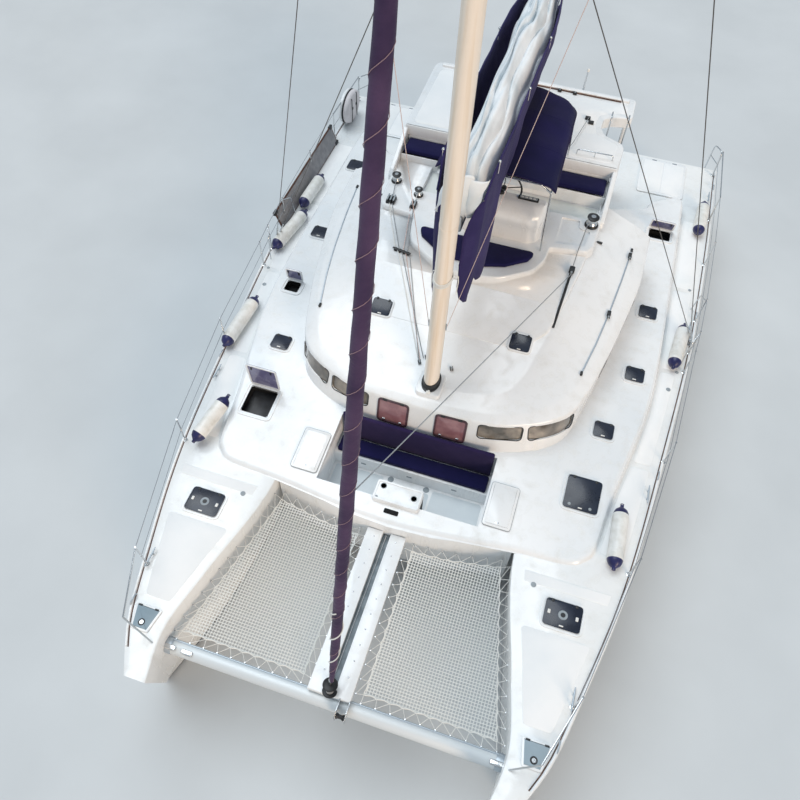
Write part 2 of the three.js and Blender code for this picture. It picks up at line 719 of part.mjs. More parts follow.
// Helm console at the front of the well
const CONSOLE = { x0: -480, x1: 1000, y0: 320, y1: 720, top: 4300 };
const consoleBody = common(
  sideways(
    [
      [CONSOLE.y0 + 80, SHELF_Z - 1],
      [CONSOLE.y1, SHELF_Z - 1],
      [CONSOLE.y1, 4150],
      [CONSOLE.y1 - 30, CONSOLE.top],
      [CONSOLE.y0 + 240, CONSOLE.top],
      [CONSOLE.y0, 4130],
      [CONSOLE.y0, 4040],
      [CONSOLE.y0 + 60, 3900],
    ],
    CONSOLE.x0,
    CONSOLE.x1,
  ),
  plate(
    [
      [CONSOLE.x0, CONSOLE.y0 + 120],
      [CONSOLE.x0 + 120, CONSOLE.y0],
      [CONSOLE.x1 - 160, CONSOLE.y0],
      [CONSOLE.x1 - 50, CONSOLE.y0 + 60],
      [CONSOLE.x1, CONSOLE.y0 + 200],
      [CONSOLE.x1, CONSOLE.y1],
      [CONSOLE.x0, CONSOLE.y1],
    ],
    SHELF_Z - 1,
    CONSOLE.top + 10,
  ),
);
const flybridge = join(cut(flySolid, roofAbove, helmWell), consoleBody);
piece("flybridge", flybridge, "gelcoat");

// Wheel and bench cushions
const WHEEL = { x: 215, y: 860, z: 4230, radius: 300 };
const wheelRim = new THREE.TorusGeometry(WHEEL.radius, 16, 6, 28);
const spoke = (turn) =>
  new THREE.CylinderGeometry(9, 9, WHEEL.radius, 6).translate(0, WHEEL.radius / 2, 0).rotateZ(turn);
const wheel = asSolid(
  shape(
    join(
      wheelRim,
      ...[0, 1, 2, 3, 4].map((i) => spoke((i * 2 * Math.PI) / 5)),
      new THREE.CylinderGeometry(45, 45, 50, 12).rotateX(Math.PI / 2),
      new THREE.CylinderGeometry(22, 22, 114, 12).rotateX(Math.PI / 2).translate(0, 0, 57),
    ),
  ).rotateX(Math.PI / 2),
).translate([WHEEL.x, WHEEL.y, WHEEL.z]);
piece("steering_wheel", wheel, "blackPlastic");
const cushion = (x0, y0, z0, x1, y1, z1) => box(x0, y0, z0 + GAP, x1, y1, z1);
for (const [side, sign] of SIDES) {
  piece(
    "bench_cushion_" + side,
    onSide(cushion(60, SEAT_Y[0] + 10, 3700, 1880, SEAT_Y[1] - 5, 3790), sign),
    "navyCloth",
  );
}
const sunpad = plate(
  mirrored([[0, -540], [530, -430], [980, -100], [1060, 120], [0, 120]]),
  SHELF_Z + GAP,
  SHELF_Z + 90,
);
piece("sunpad", sunpad, "navyCloth");

// Bimini canopy over the helm and its frame
const BIMINI = { axis: 190, front: -260, back: 2120, halfFront: 915, halfBack: 850, thick: 24, crown: 90 };
const biminiRing = (y, half, drop) => {
  const across = [-1, -0.8, -0.4, 0, 0.4, 0.8, 1];
  const height = (t) => BIMINI_Z - drop + BIMINI.crown * (1 - t * t);
  return [
    ...across.map((t) => [BIMINI.axis + t * half, y, height(t)]),
    ...[...across].reverse().map((t) => [BIMINI.axis + t * half, y, height(t) - BIMINI.thick]),
  ];
};
const canopy = loft(
  [
    biminiRing(BIMINI.front, BIMINI.halfFront, 60),
    biminiRing(500, 900, 0),
    biminiRing(1400, 870, 0),
    biminiRing(BIMINI.back, BIMINI.halfBack, 40),
  ],
  inXZ,
);
piece("bimini", canopy, "navyCloth");
// A hoop under the canopy: its place and height, and where its legs stand
const bow = (y, z, half, foot, footZ) =>
  rail(
    [
      [-half, foot, footZ],
      [-half + 30, y, z - 150],
      [-half + 200, y, z - 40],
      [half - 200, y, z - 40],
      [half - 30, y, z - 150],
      [half, foot, footZ],
    ],
    14,
    8,
  );
const HOOP_HALF = 870;
const biminiFrame = join(
  bow(-160, BIMINI_Z - 60, HOOP_HALF, 330, SHELF_Z + 1),
  bow(1980, BIMINI_Z - 60, HOOP_HALF, 2420, COAMING_TOP + 1),
  ...bothSides(rail([[HOOP_HALF - 30, -155, BIMINI_Z - 212], [HOOP_HALF - 30, 1985, BIMINI_Z - 212]], 12, 6)),
).translate([BIMINI.axis, 0, 0]);
piece("bimini_frame", cut(biminiFrame, flybridge.translate([0, 0, GAP])), "steel");

// Aft cockpit: bench across the stern and a table
piece("cockpit_cushion", cushion(-1480, 5290, 1540, 1480, 5770, 1640), "navyCloth");
const aftTable = join(
  box(-160, 4520, SALOON_FLOOR + GAP, 160, 4620, 1800),
  box(-650, 4250, 1790, 650, 4890, 1830),
);
piece("cockpit_table", aftTable, "gelcoat");

// Forward cockpit: seat cushion, backrest and console
piece("front_cushion", cushion(-1290, -3390, WELL_SEAT, 1290, -3080, WELL_SEAT + 100), "navyCloth");
piece("front_backrest", box(-1290, -3070, WELL_SEAT + 5, 1290, -2985, 2330), "navyCloth");

// Forward crossbeam between the bows, and the longitudinal beam with its channel
const port1 = plainHull.translate([-GAP, 0, 0]);
const hullsMoved = [port1, plainHull.mirror([1, 0, 0]).translate([GAP, 0, 0])];
const crossbeamSolid = new THREE.CylinderGeometry(108, 108, 5400, 16)
  .rotateZ(Math.PI / 2)
  .scale(1, 1, 0.95)
  .translate(0, CROSSBEAM_Y, CROSSBEAM_Z);
piece("crossbeam", cut(crossbeamSolid, ...hullsMoved), "alloy");
const BEAM_HALF = 310;
const centreBeam = cut(
  join(
    box(-BEAM_HALF, CROSSBEAM_Y + 30, 1645, BEAM_HALF, BRIDGE_FRONT - GAP, 1760),
    box(-150, CROSSBEAM_Y + 120, 1500, 150, BRIDGE_FRONT - GAP, 1660),
  ),
  box(-55, CROSSBEAM_Y + 60, 1600, 65, BRIDGE_FRONT + 10, 1800),
);
piece("centre_beam", centreBeam, "gelcoat");

// Trampolines, laced between the hulls, the beams and the bridge deck
const netOutline = [
  [BEAM_HALF + GAP, CROSSBEAM_Y + 110],
  [BEAM_HALF + GAP, -4500],
  [1000, -4470],
  [2100, -4300],
  [2700, CROSSBEAM_Y + 110],
];
const netSolid = cut(plate(netOutline, NET_Z - NET_THICK, NET_Z), port1, bridgeBlock.translate([0, -1, 0]));
for (const [side, sign] of SIDES) piece("trampoline_" + side, onSide(netSolid, sign), "net");

// Mast with two pairs of swept spreaders
const mastY = (z) => MAST_Y + (z - MAST_FOOT) * MAST_RAKE;
const MAST_SIDES = 14;
const mastRing = (z, size) =>
  Array.from({ length: MAST_SIDES }, (_, i) => {
    const turn = (i * 2 * Math.PI) / MAST_SIDES;
    return [Math.cos(turn) * 118 * size, mastY(z) + Math.sin(turn) * 182 * size, z];
  });
// The boom's tang turns between two cheeks on the mast.
const GOOSENECK_Y = -1990;
const gooseneck = join(
  box(-40, -2240, BOOM_Z - 120, 40, -2060, BOOM_Z + 120),
  box(-40, -2070, BOOM_Z + 66, 40, GOOSENECK_Y + 30, BOOM_Z + 86),
  box(-40, -2070, BOOM_Z - 86, 40, GOOSENECK_Y + 30, BOOM_Z - 66),
);
// Spreader pairs: height, half span, sweep aft
const SPREADERS = [
  [10600, 1450, 420],
  [15400, 1150, 330],
];
const spreader = ([z, half, sweep]) =>
  rail([[half, mastY(z) + sweep, z + 60], [0, mastY(z), z], [-half, mastY(z) + sweep, z + 60]], 34, 8);
const mast = join(
  loft([mastRing(MAST_FOOT + GAP, 1), mastRing(18000, 1), mastRing(MAST_TOP, 0.62)]),
  ...SPREADERS.map(spreader),
  gooseneck,
);
piece("mast", mast, "creamMast");

// Shrouds: the cap shroud over both spreaders, and the lower one, from one chainplate on each side
const CHAINPLATE = [4080, 640];
const WIRE = 7;
const tip = ([z, half, sweep]) => [half + 45, mastY(z) + sweep, z + 60];
const hounds = [150, mastY(FORESTAY_TOP) + 80, FORESTAY_TOP];
const lowerTop = [140, mastY(10300) + 60, 10300];
const shrouds = join(
  rail([[...CHAINPLATE, SHEER + 40], tip(SPREADERS[0]), tip(SPREADERS[1]), hounds], WIRE, 6),
  rail([[CHAINPLATE[0], CHAINPLATE[1] + 10, SHEER + 40], lowerTop], WIRE, 6),
  box(CHAINPLATE[0] - 15, CHAINPLATE[1] - 50, SHEER + GAP, CHAINPLATE[0] + 15, CHAINPLATE[1] + 60, SHEER + 70),
);
for (const [side, sign] of SIDES) piece("shrouds_" + side, onSide(shrouds, sign), "steel");

// Furled genoa round the forestay, with its drum on the crossbeam
const STAY_FOOT = [0, CROSSBEAM_Y + 60, 1642];
const STAY_HEAD = [0, mastY(FORESTAY_TOP) - 215, FORESTAY_TOP];
// Furled sail's radius against the share of the stay's length
const FURL = [
  [0, 0],
  [0, 75],
  [0.004, 105],
  [0.018, 105],
  [0.02, 28],
  [0.04, 40],
  [0.12, 62],
  [0.35, 92],
  [0.6, 85],
  [0.85, 55],
  [0.93, 30],
  [1, 20],
  [1, 0],
];
const stayAxis = v3(...STAY_HEAD).sub(v3(...STAY_FOOT));
const furled = new THREE.LatheGeometry(
  FURL.map(([share, radius]) => new THREE.Vector2(radius, share * stayAxis.length())),
  12,
)
  .applyQuaternion(new THREE.Quaternion().setFromUnitVectors(v3(0, 1, 0), stayAxis.clone().normalize()))
  .translate(...STAY_FOOT);
piece("furled_genoa", cut(furled, box(-400, CROSSBEAM_Y - 400, 1400, 400, CROSSBEAM_Y + 500, 1762)), "navyCloth");

// Boom with its sail bag and the flaked mainsail
const BOOM_FROM = -1900;
const BOOM_TO = BOOM_FROM + BOOM_LENGTH;
const BOOM_RISE = 0.015;
const boomZ = (y) => BOOM_Z + (y - BOOM_FROM) * BOOM_RISE;
const boomRing = (y, w, h, lift) =>
  [[-1, -1], [1, -1], [1, 1], [-1, 1]].map(([a, b]) => [a * w, y, boomZ(y) + lift + b * h]);
const boomSpar = join(
  loft([boomRing(BOOM_FROM + 60, 75, 130, 0), boomRing(BOOM_TO, 75, 120, 0)], inXZ),
  box(-30, GOOSENECK_Y - 45, BOOM_Z - 60, 30, BOOM_FROM + 80, BOOM_Z + 60),
);
piece("boom", boomSpar, "alloy");
// Bag's cross-sections along the boom: y, bottom under the boom's axis, top over it, half width at the top
const BAG = [
  [BOOM_FROM + 120, -170, 760, 330],
  [BOOM_FROM + 1500, -175, 700, 400],
  [BOOM_FROM + 4200, -170, 560, 380],
  [BOOM_TO - 250, -165, 420, 280],
];
const bagRing = ([y, low, high, half], inset, lift) => {
  const z = boomZ(y);
  return [
    [-220 + inset, z + low + inset],
    [220 - inset, z + low + inset],
    [half - inset, z + low + 200],
    [half - 30 - inset, z + high + lift],
    [-half + 30 + inset, z + high + lift],
    [-half + inset, z + low + 200],
  ].map(([x, height]) => [x, y, height]);
};
const BAG_WALL = 22;
const stretched = (rows) => rows.map(([y, ...rest], i) => [y + (i === 0 ? -20 : i === 3 ? 20 : 0), ...rest]);
// Front end of each side, hanging slack beside the mast: y and z
const DROOP = [
  [-1930, 5700],
  [-1930, 4330],
  [-1830, 4300],
  [-1500, 4650],
  [-1050, 5300],
  [-700, 5480],
  [-700, 5700],
];
const droop = sideways(DROOP, 290, 290 + BAG_WALL);
const bag = join(
  cut(
    loft(BAG.map((row) => bagRing(row, 0, 0)), inXZ),
    loft(stretched(BAG).map((row) => bagRing(row, BAG_WALL, 30)), inXZ),
  ),
  ...bothSides(droop),
);
piece("sail_bag", bag, "navyCloth");
const stackRing = ([y, , high, half]) => {
  const z = boomZ(y);
  return [
    [-90, z + 140],
    [90, z + 140],
    [half - BAG_WALL - 60, z + 260],
    [half - BAG_WALL - 80, z + high + 60],
    [0, z + high + 240],
    [-half + BAG_WALL + 80, z + high + 60],
    [-half + BAG_WALL + 60, z + 260],
  ].map(([x, height]) => [x, y, height]);
};
piece("stowed_mainsail", loft(BAG.map(stackRing), inXZ), "sailcloth");

// Guard rails: bow rail, stanchions with two lines and a stern rail in one run along each side
const RAIL_HIGH = 610;
// Feet of the stanchions: x, y
const STANCHIONS = [
  [3130, -6220],
  [3600, -4150],
  [3890, -2050],
  [4040, -80],
  [4090, 400],
  [4140, 1220],
  [4190, 2800],
  [4200, 4200],
  [4170, 5750],
];
const BOW_RAIL = [
  [2790, -7130, SHEER + RAIL_HIGH - 12],
  [2500, -7200, SHEER + GAP],
];
const railRun = (posts, up, radius) => rail(posts.map(([x, y]) => [x, y, SHEER + up]), radius, 6);
const railSolid = join(
  ...STANCHIONS.map(([x, y]) => post(x, y, SHEER + GAP, SHEER + RAIL_HIGH, 13, 13, 8)),
  railRun(STANCHIONS, RAIL_HIGH - 12, 6),
  railRun(STANCHIONS, RAIL_HIGH / 2, 5),
  railRun(STANCHIONS.slice(-2), RAIL_HIGH - 12, 13),
  rail([[...STANCHIONS[0], SHEER + RAIL_HIGH - 12], ...BOW_RAIL], 13, 8),
);
for (const [side, sign] of SIDES) {
  piece("guard_rail_" + side, cut(onSide(railSolid, sign), onSide(hull, sign).translate([0, 0, GAP])), "steel");
}

// Opening lids, each on its rim
// Open lids as drawn: hatch, side, degrees from closed
const DRAWN_OPEN = [
  ["mid_hatch", "starboard", 92],
  ["waist_hatch", "starboard", 80],
  ["aft_hatch", "port", 65],
];
function hatchLid([name, x, y, w, l, raised], side, sign) {
  const open = DRAWN_OPEN.find(([hatch, where]) => hatch === name && where === side)?.[2] ?? 0;
  const lid = box(-w / 2, -l - 8, LID_LIFT - LID_DEEP, w / 2, -8, LID_LIFT)
    .rotateX((-open * Math.PI) / 180)
    .translate(0, l / 2 + 8, LID_DEEP);
  piece(name + "_" + side, onSide(onDeck(lid, x, y, raised), sign), "darkAcrylic");
}
for (const [side, sign] of SIDES) HATCHES.forEach((hatch) => hatchLid(hatch, side, sign));
for (const [side, sign] of SIDES) {
  piece("bow_lid_" + side, onSide(plate(BOW_LID, SHEER + LID_LIFT, SHEER + LID_LIFT + 20), sign), "nonSkid");
  piece("locker_lid_" + side, onSide(lockerBox(0, LID_LIFT, LID_LIFT + 20), sign), "nonSkid");
}

export default boat;
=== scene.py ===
import json
import math

import bmesh
import bpy
from mathutils import Matrix, Vector
from mathutils.bvhtree import BVHTree


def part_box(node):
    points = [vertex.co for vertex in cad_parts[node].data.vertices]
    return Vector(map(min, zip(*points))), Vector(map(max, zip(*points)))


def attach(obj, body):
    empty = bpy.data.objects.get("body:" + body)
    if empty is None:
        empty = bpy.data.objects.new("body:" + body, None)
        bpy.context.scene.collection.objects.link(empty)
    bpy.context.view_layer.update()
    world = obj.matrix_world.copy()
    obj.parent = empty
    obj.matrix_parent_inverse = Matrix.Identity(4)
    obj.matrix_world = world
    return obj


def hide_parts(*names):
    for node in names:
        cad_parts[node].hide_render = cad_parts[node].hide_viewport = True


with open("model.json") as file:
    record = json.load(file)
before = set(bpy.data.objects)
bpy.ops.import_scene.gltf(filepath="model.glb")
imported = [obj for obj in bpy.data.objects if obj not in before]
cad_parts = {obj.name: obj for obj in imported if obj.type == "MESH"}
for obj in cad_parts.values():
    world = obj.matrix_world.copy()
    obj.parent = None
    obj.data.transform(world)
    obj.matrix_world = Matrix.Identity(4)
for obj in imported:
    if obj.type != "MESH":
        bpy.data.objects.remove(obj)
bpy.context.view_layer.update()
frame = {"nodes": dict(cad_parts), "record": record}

NODES = frame["nodes"]
SIDES = (("port", 1), ("starboard", -1))

# Driving sizes
SHEER = 1.95
RAISED = 2.2
RAMP_FROM, RAMP_TO, RAMP_SLOPE = -4.48, -2.33, 0.1
WATER = 0.0
BOW_Y = -7.7
STERN_Y = 7.84
STEPS_FROM = 5.95
BRIDGE_FRONT = -4.56
CROSSBEAM_Y = -7.08
NET_Z = 1.6
MAST_FOOT = 2.9
BOOM_Z = 5.62
SHELF_Z = 3.56
AFT_DECK_Z = 4.01


def raised_z(y):
    """Height of the raised deck, which slopes down ahead of the house."""
    return RAISED - max(0.0, RAMP_TO - y) * RAMP_SLOPE


def mast_y(z):
    return -2.4 + (z - MAST_FOOT) * 0.035


def boom_z(y):
    return BOOM_Z + (y + 1.9) * 0.015


# Camera and light

def look_from(place, azimuth, elevation, roll, lens):
    """A camera at a place. Azimuth 0 looks along +Y, and a positive roll turns the picture clockwise."""
    a, e, r = (math.radians(v) for v in (azimuth, elevation, roll))
    back = Vector((math.sin(a) * math.cos(e), -math.cos(a) * math.cos(e), math.sin(e)))
    right = Vector((math.cos(a), math.sin(a), 0))
    up = back.cross(right)
    turned = right * math.cos(r) - up * math.sin(r)
    upward = back.cross(turned)
    data = bpy.data.cameras.new("camera")
    data.lens = lens
    data.sensor_width = 36
    data.clip_end = 400
    camera = bpy.data.objects.new("camera", data)
    turn = Matrix((turned, upward, back)).transposed().to_4x4()
    camera.matrix_world = Matrix.Translation(place) @ turn
    bpy.context.scene.collection.objects.link(camera)
    bpy.context.scene.camera = camera


def lamp(name, place, spread, strength, color):
    """A distant soft light that shines from place towards the middle of the boat."""
    data = bpy.data.lights.new(name, "SUN")
    data.angle = math.radians(spread)
    data.energy = strength
    data.color = color
    made = bpy.data.objects.new(name, data)
    made.location = place
    made.rotation_euler = Vector(place).to_track_quat("Z", "Y").to_euler()
    bpy.context.scene.collection.objects.link(made)


# The photograph's camera: its place, azimuth, elevation and roll in degrees, and lens in millimetres
CAMERA = ((1.3465, -8.8366, 11.8306), 15.998, 55.340, -2.364, 31.69)


def studio():
    look_from(*CAMERA)
    lamp("key", (20, -22, 9.5), 22, 1.5, (1.0, 0.76, 0.55))
    lamp("top", (-9, 5, 26), 45, 1.75, (0.90, 0.96, 1.0))
    world = bpy.data.worlds.new("sky")
    world.use_nodes = True
    background = world.node_tree.nodes["Background"]
    background.inputs["Color"].default_value = (0.80, 0.90, 1.0, 1)
    background.inputs["Strength"].default_value = 0.46
    bpy.context.scene.world = world
    bpy.context.scene.view_settings.view_transform = "Standard"


# Materials

def tone(value):
    """A colour written as six hex digits, in linear light."""
    parts = [int(value[i:i + 2], 16) / 255 for i in (0, 2, 4)]
    return tuple(v / 12.92 if v <= 0.04045 else ((v + 0.055) / 1.055) ** 2.4 for v in parts)


class Look:
    """A material: one Principled shader and the textures that feed it, in the boat's own metres."""

    def __init__(self, name, color, roughness, **sockets):
        self.material = bpy.data.materials.new(name)
        self.material.use_nodes = True
        self.tree = self.material.node_tree
        self.shader = self.tree.nodes["Principled BSDF"]
        self.shader.inputs["Base Color"].default_value = (*tone(color), 1)
        self.shader.inputs["Roughness"].default_value = roughness
        for socket, value in sockets.items():
            self.shader.inputs[socket.replace("_", " ")].default_value = value
        self.place = self.node("ShaderNodeTexCoord").outputs["Object"]
        self.height = None

    def node(self, kind, **values):
        made = self.tree.nodes.new(kind)
        for name, value in values.items():
            setattr(made, name, value)
        return made

    def link(self, source, target):
        self.tree.links.new(source, target)

    def stretched(self, scale):
        mapping = self.node("ShaderNodeMapping")
        mapping.inputs["Scale"].default_value = scale
        self.link(self.place, mapping.inputs["Vector"])
        return mapping.outputs["Vector"]

    def noise(self, scale, detail=3.0, stretch=(1, 1, 1)):
        made = self.node("ShaderNodeTexNoise")
        made.inputs["Scale"].default_value = scale
        made.inputs["Detail"].default_value = detail
        self.link(self.stretched(stretch), made.inputs["Vector"])
        return made.outputs["Fac"]

    def cells(self, scale):
        made = self.node("ShaderNodeTexVoronoi")
        made.inputs["Scale"].default_value = scale
        self.link(self.place, made.inputs["Vector"])
        return made.outputs["Distance"]

    def wave(self, scale, axis, distortion):
        made = self.node("ShaderNodeTexWave", wave_type="BANDS", bands_direction=axis, wave_profile="SIN")
        made.inputs["Scale"].default_value = scale
        made.inputs["Distortion"].default_value = distortion
        self.link(self.place, made.inputs["Vector"])
        return made.outputs["Fac"]

    def math(self, operation, *values):
        made = self.node("ShaderNodeMath", operation=operation)
        for socket, value in zip(made.inputs, values):
            if isinstance(value, (int, float)):
                socket.default_value = value
            else:
                self.link(value, socket)
        return made.outputs[0]

    def ramp(self, factor, low, high):
        """factor between low and high as 0 to 1."""
        made = self.node("ShaderNodeMapRange")
        made.inputs["From Min"].default_value = low
        made.inputs["From Max"].default_value = high
        self.link(factor, made.inputs["Value"])
        return made.outputs["Result"]

    def mix(self, factor, first, second):
        made = self.node("ShaderNodeMix", data_type="RGBA")
        self.link(factor, made.inputs["Factor"])
        for socket, value in ((made.inputs["A"], first), (made.inputs["B"], second)):
            if isinstance(value, str):
                socket.default_value = (*tone(value), 1)
            else:
                self.link(value, socket)
        return made.outputs["Result"]

    def color(self, socket):
        self.link(socket, self.shader.inputs["Base Color"])
        return self

    def rough(self, factor, low, high):
        made = self.node("ShaderNodeMapRange")
        made.inputs["To Min"].default_value = low
        made.inputs["To Max"].default_value = high
        self.link(factor, made.inputs["Value"])
        self.link(made.outputs["Result"], self.shader.inputs["Roughness"])
        return self

    def bump(self, height, distance, strength=1.0):
        made = self.node("ShaderNodeBump")
        made.inputs["Distance"].default_value = distance
        made.inputs["Strength"].default_value = strength
        self.link(height, made.inputs["Height"])
        if self.height is not None:
            self.link(self.height, made.inputs["Normal"])
        self.height = made.outputs["Normal"]
        self.link(self.height, self.shader.inputs["Normal"])
        return self


def gelcoat(name, light, worn, antifouling=False):
    """Polished gelcoat with faint streaks of weather; below the waterline a hull has antifouling paint."""
    look = Look(name, light, 0.25, Coat_Weight=0.35, Coat_Roughness=0.12)
    cloud = look.ramp(look.noise(0.55, 5), 0.42, 0.68)
    grime = look.ramp(look.noise(7, 6, (1, 1, 0.25)), 0.5, 0.75)
    shade = look.mix(look.math("MULTIPLY", cloud, 0.75), light, worn)
    shade = look.mix(look.math("MULTIPLY", grime, 0.22), shade, "b9b3a4")
    if antifouling:
        split = look.node("ShaderNodeSeparateXYZ")
        look.link(look.place, split.inputs[0])
        low = look.math("LESS_THAN", split.outputs["Z"], 0.06)
        shade = look.mix(low, shade, look.mix(look.noise(9, 5), "1c2a3a", "2c3f50"))
    look.color(shade)
    look.rough(grime, 0.2, 0.42)
    look.bump(look.noise(260, 2), 0.0004, 0.25)
    return look.material


def non_skid(name, light, dark):
    """Moulded diamond tread, matt, with a little dirt in soft patches."""
    look = Look(name, light, 0.75)
    grain = look.cells(260)
    look.color(look.mix(look.ramp(look.noise(1.3, 6), 0.4, 0.7), light, dark))
    look.bump(grain, 0.0012, 0.7)
    look.rough(look.noise(30), 0.6, 0.85)
    return look.material


def canvas(name, deep, faded):
    """Acrylic canvas: a fine square weave, sun fading and creases."""
    look = Look(name, deep, 0.9, Sheen_Weight=0.06, Sheen_Roughness=0.5, Specular_IOR_Level=0.15)
    fade = look.ramp(look.noise(1.4, 5), 0.4, 0.68)
    threads = look.math("MULTIPLY", look.wave(900, "X", 0.4), look.wave(900, "Y", 0.4))
    look.color(look.mix(fade, deep, faded))
    look.bump(look.noise(6.5, 6), 0.012, 0.35)
    look.bump(threads, 0.0006, 0.5)
    return look.material


def furled_canvas():
    """The sun strip of the furled headsail: drawn tight, with creases running round it."""
    look = Look("sun_strip_canvas", "40304f", 0.9, Sheen_Weight=0.12, Sheen_Roughness=0.5,
                Specular_IOR_Level=0.2)
    look.color(look.mix(look.ramp(look.noise(1.8, 5), 0.36, 0.7), "382b49", "54415f"))
    look.bump(look.noise(5.5, 5, (1.0, 1.0, 2.6)), 0.03, 0.5)
    look.bump(look.noise(26, 3, (1.0, 1.0, 2.0)), 0.004, 0.4)
    return look.material


def sailcloth():
    look = Look("sailcloth", "e9edf0", 0.6, Sheen_Weight=0.15)
    look.color(look.mix(look.ramp(look.noise(1.7, 5), 0.38, 0.7), "eef1f3", "cfd9de"))
    look.bump(look.noise(2.2, 4, (1.6, 0.4, 1.0)), 0.03, 0.3)
    look.bump(look.noise(160, 2), 0.0005, 0.4)
    return look.material


def metal(name, color, roughness, streak=(40, 40, 1), metallic=1.0):
    look = Look(name, color, roughness, Metallic=metallic)
    brushed = look.noise(12, 4, streak)
    look.rough(brushed, roughness * 0.7, roughness * 1.5)
    look.bump(brushed, 0.0003, 0.3)
    return look.material


def painted_spar(name, light, worn):
    look = Look(name, light, 0.4, Coat_Weight=0.2)
    streak = look.ramp(look.noise(3.2, 6, (5, 5, 0.22)), 0.42, 0.75)
    look.color(look.mix(streak, light, worn))
    look.rough(streak, 0.3, 0.55)
    look.bump(look.noise(120, 2, (1, 1, 0.2)), 0.0005, 0.4)
    return look.material


def plastic(name, color, light, roughness=0.45):
    look = Look(name, color, roughness)
    look.color(look.mix(look.ramp(look.noise(8, 5), 0.4, 0.7), color, light))
    look.bump(look.noise(380, 2), 0.0004, 0.5)
    look.rough(look.noise(14, 3), roughness * 0.8, roughness * 1.25)
    return look.material


def glazing(name, deep, light, roughness=0.08, coat=0.7):
    """Smoked acrylic or glass: dark and glossy, with salt haze."""
    look = Look(name, deep, roughness, Coat_Weight=coat, Coat_Roughness=0.08)
    haze = look.ramp(look.noise(3.5, 5), 0.42, 0.72)
    look.color(look.mix(haze, deep, light))
    look.rough(haze, roughness, roughness + 0.16)
    return look.material


def rope(name, color, fleck, lay=420.0):
    """Braided rope with flecks of a second colour."""
    look = Look(name, color, 0.8, Sheen_Weight=0.2)
    strands = look.math("ADD", look.wave(lay, "DIAGONAL", 1.5), look.noise(260, 2))
    look.color(look.mix(look.ramp(strands, 0.7, 1.3), color, fleck))
    look.bump(strands, 0.0012, 0.6)
    return look.material


MATERIALS = {
    "hull": gelcoat("hull_gelcoat", "f4f5f4", "e3e8ea", antifouling=True),
    "white": gelcoat("white_gelcoat", "f5f6f6", "e6ebee"),
    "tread": non_skid("deck_tread", "f7f7f6", "eff1f1"),
    "floor": non_skid("cockpit_floor", "e2e8ea", "d3dbdf"),
    "bluegrey": non_skid("locker_tread", "9fb0ba", "8b9ea9"),
    "sand": non_skid("helm_floor", "eceeea", "dfe3de"),
    "antifouling": plastic("antifouling", "1c2a3a", "2f4254", 0.8),
    "navy": canvas("navy_canvas", "14153d", "1d1a49"),
    "bag": canvas("bag_canvas", "292450", "393161"),
    "purple": canvas("backrest_canvas", "231c42", "33284e"),
    "furled": furled_canvas(),
    "sail": sailcloth(),
    "alloy": metal("anodised_alloy", "b9c3cb", 0.42, (30, 2, 30), 0.75),
    "beam": metal("beam_alloy", "dde2e4", 0.5, (2, 30, 30), 0.3),
    "steel": metal("polished_steel", "cfd2d4", 0.2),
    "wire": metal("weathered_wire", "6f6a66", 0.45),
    "bronze": metal("bronze", "9a7a45", 0.35),
    "iron": metal("engine_paint", "5a6268", 0.55, (3, 3, 3), 0.4),
    "spar": painted_spar("mast_paint", "f5e8d8", "e8d5bd"),
    "acrylic": glazing("hatch_acrylic", "111a2c", "1d283c", 0.24, 0.12),
    # Open lids: the hatch acrylic made paler, as painted reflection of light on their tilted panes.
    "open_lid_painted_reflection": glazing("open_hatch_painted_reflection", "67668a", "8a8ba8", 0.2, 0.3),
    "glass": glazing("window_glass", "57534c", "9a9083"),
    "pane": glazing("opening_window", "8c646b", "b08a8d"),
    "frame": plastic("window_frame", "4b333b", "5d424a"),
    "black": plastic("black_plastic", "17181a", "2a2c2f"),
    "grey": plastic("grey_plastic", "8d969c", "a4acb0"),
    # Near-black for the walls of the hatch wells and for the chain slot: painted shade.
    "dark": plastic("painted_shade_black", "07080a", "101215", 0.9),
    "vinyl": plastic("fender_vinyl", "efeeea", "dcdad2", 0.35),
    "blue_vinyl": plastic("navy_vinyl", "1d1f4e", "2b2d63", 0.35),
    "white_rope": rope("white_rope", "f7f7f4", "e2e0d8"),
    "grey_rope": rope("grey_rope", "a9adb0", "6f767c"),
    "red_rope": rope("red_rope", "b9837c", "efe9e2"),
    "leech": rope("leech_line", "a88a90", "8b6e7a"),
    "net": rope("net_cord", "f3f3ef", "dfe0dc", 300.0),
    # Grey floor of the chain channel, darkened with painted shade of the channel.
    "channel": plastic("channel_floor_painted_shade", "6c757a", "8a9398", 0.8),
    "plank": plastic("plank_tread", "8b8a8d", "9c9b9d", 0.8),
    "beige": plastic("case_lining", "d9d3d4", "e6e1e2", 0.6),
    # Dark brown trim; on the aft deck's groove it is partly painted shade.
    "wood": plastic("varnished_edge", "4a2d20", "6a4431", 0.4),
}


# Shape helpers

def turns(count, extra=0):
    """Angles evenly round a full turn, and extra ones past it to close a loop."""
    return [2 * math.pi * i / count for i in range(count + extra)]


def upright(u, v, w):
    """Stands a plate up along the boat: u runs aft, v up and w to port."""
    return (w, u, v)


def facing_ahead(y):
    """A function that stands a plate up across the boat at y, with its face ahead."""
    def place(u, v, w):
        return (u, y - w, v)
    return place


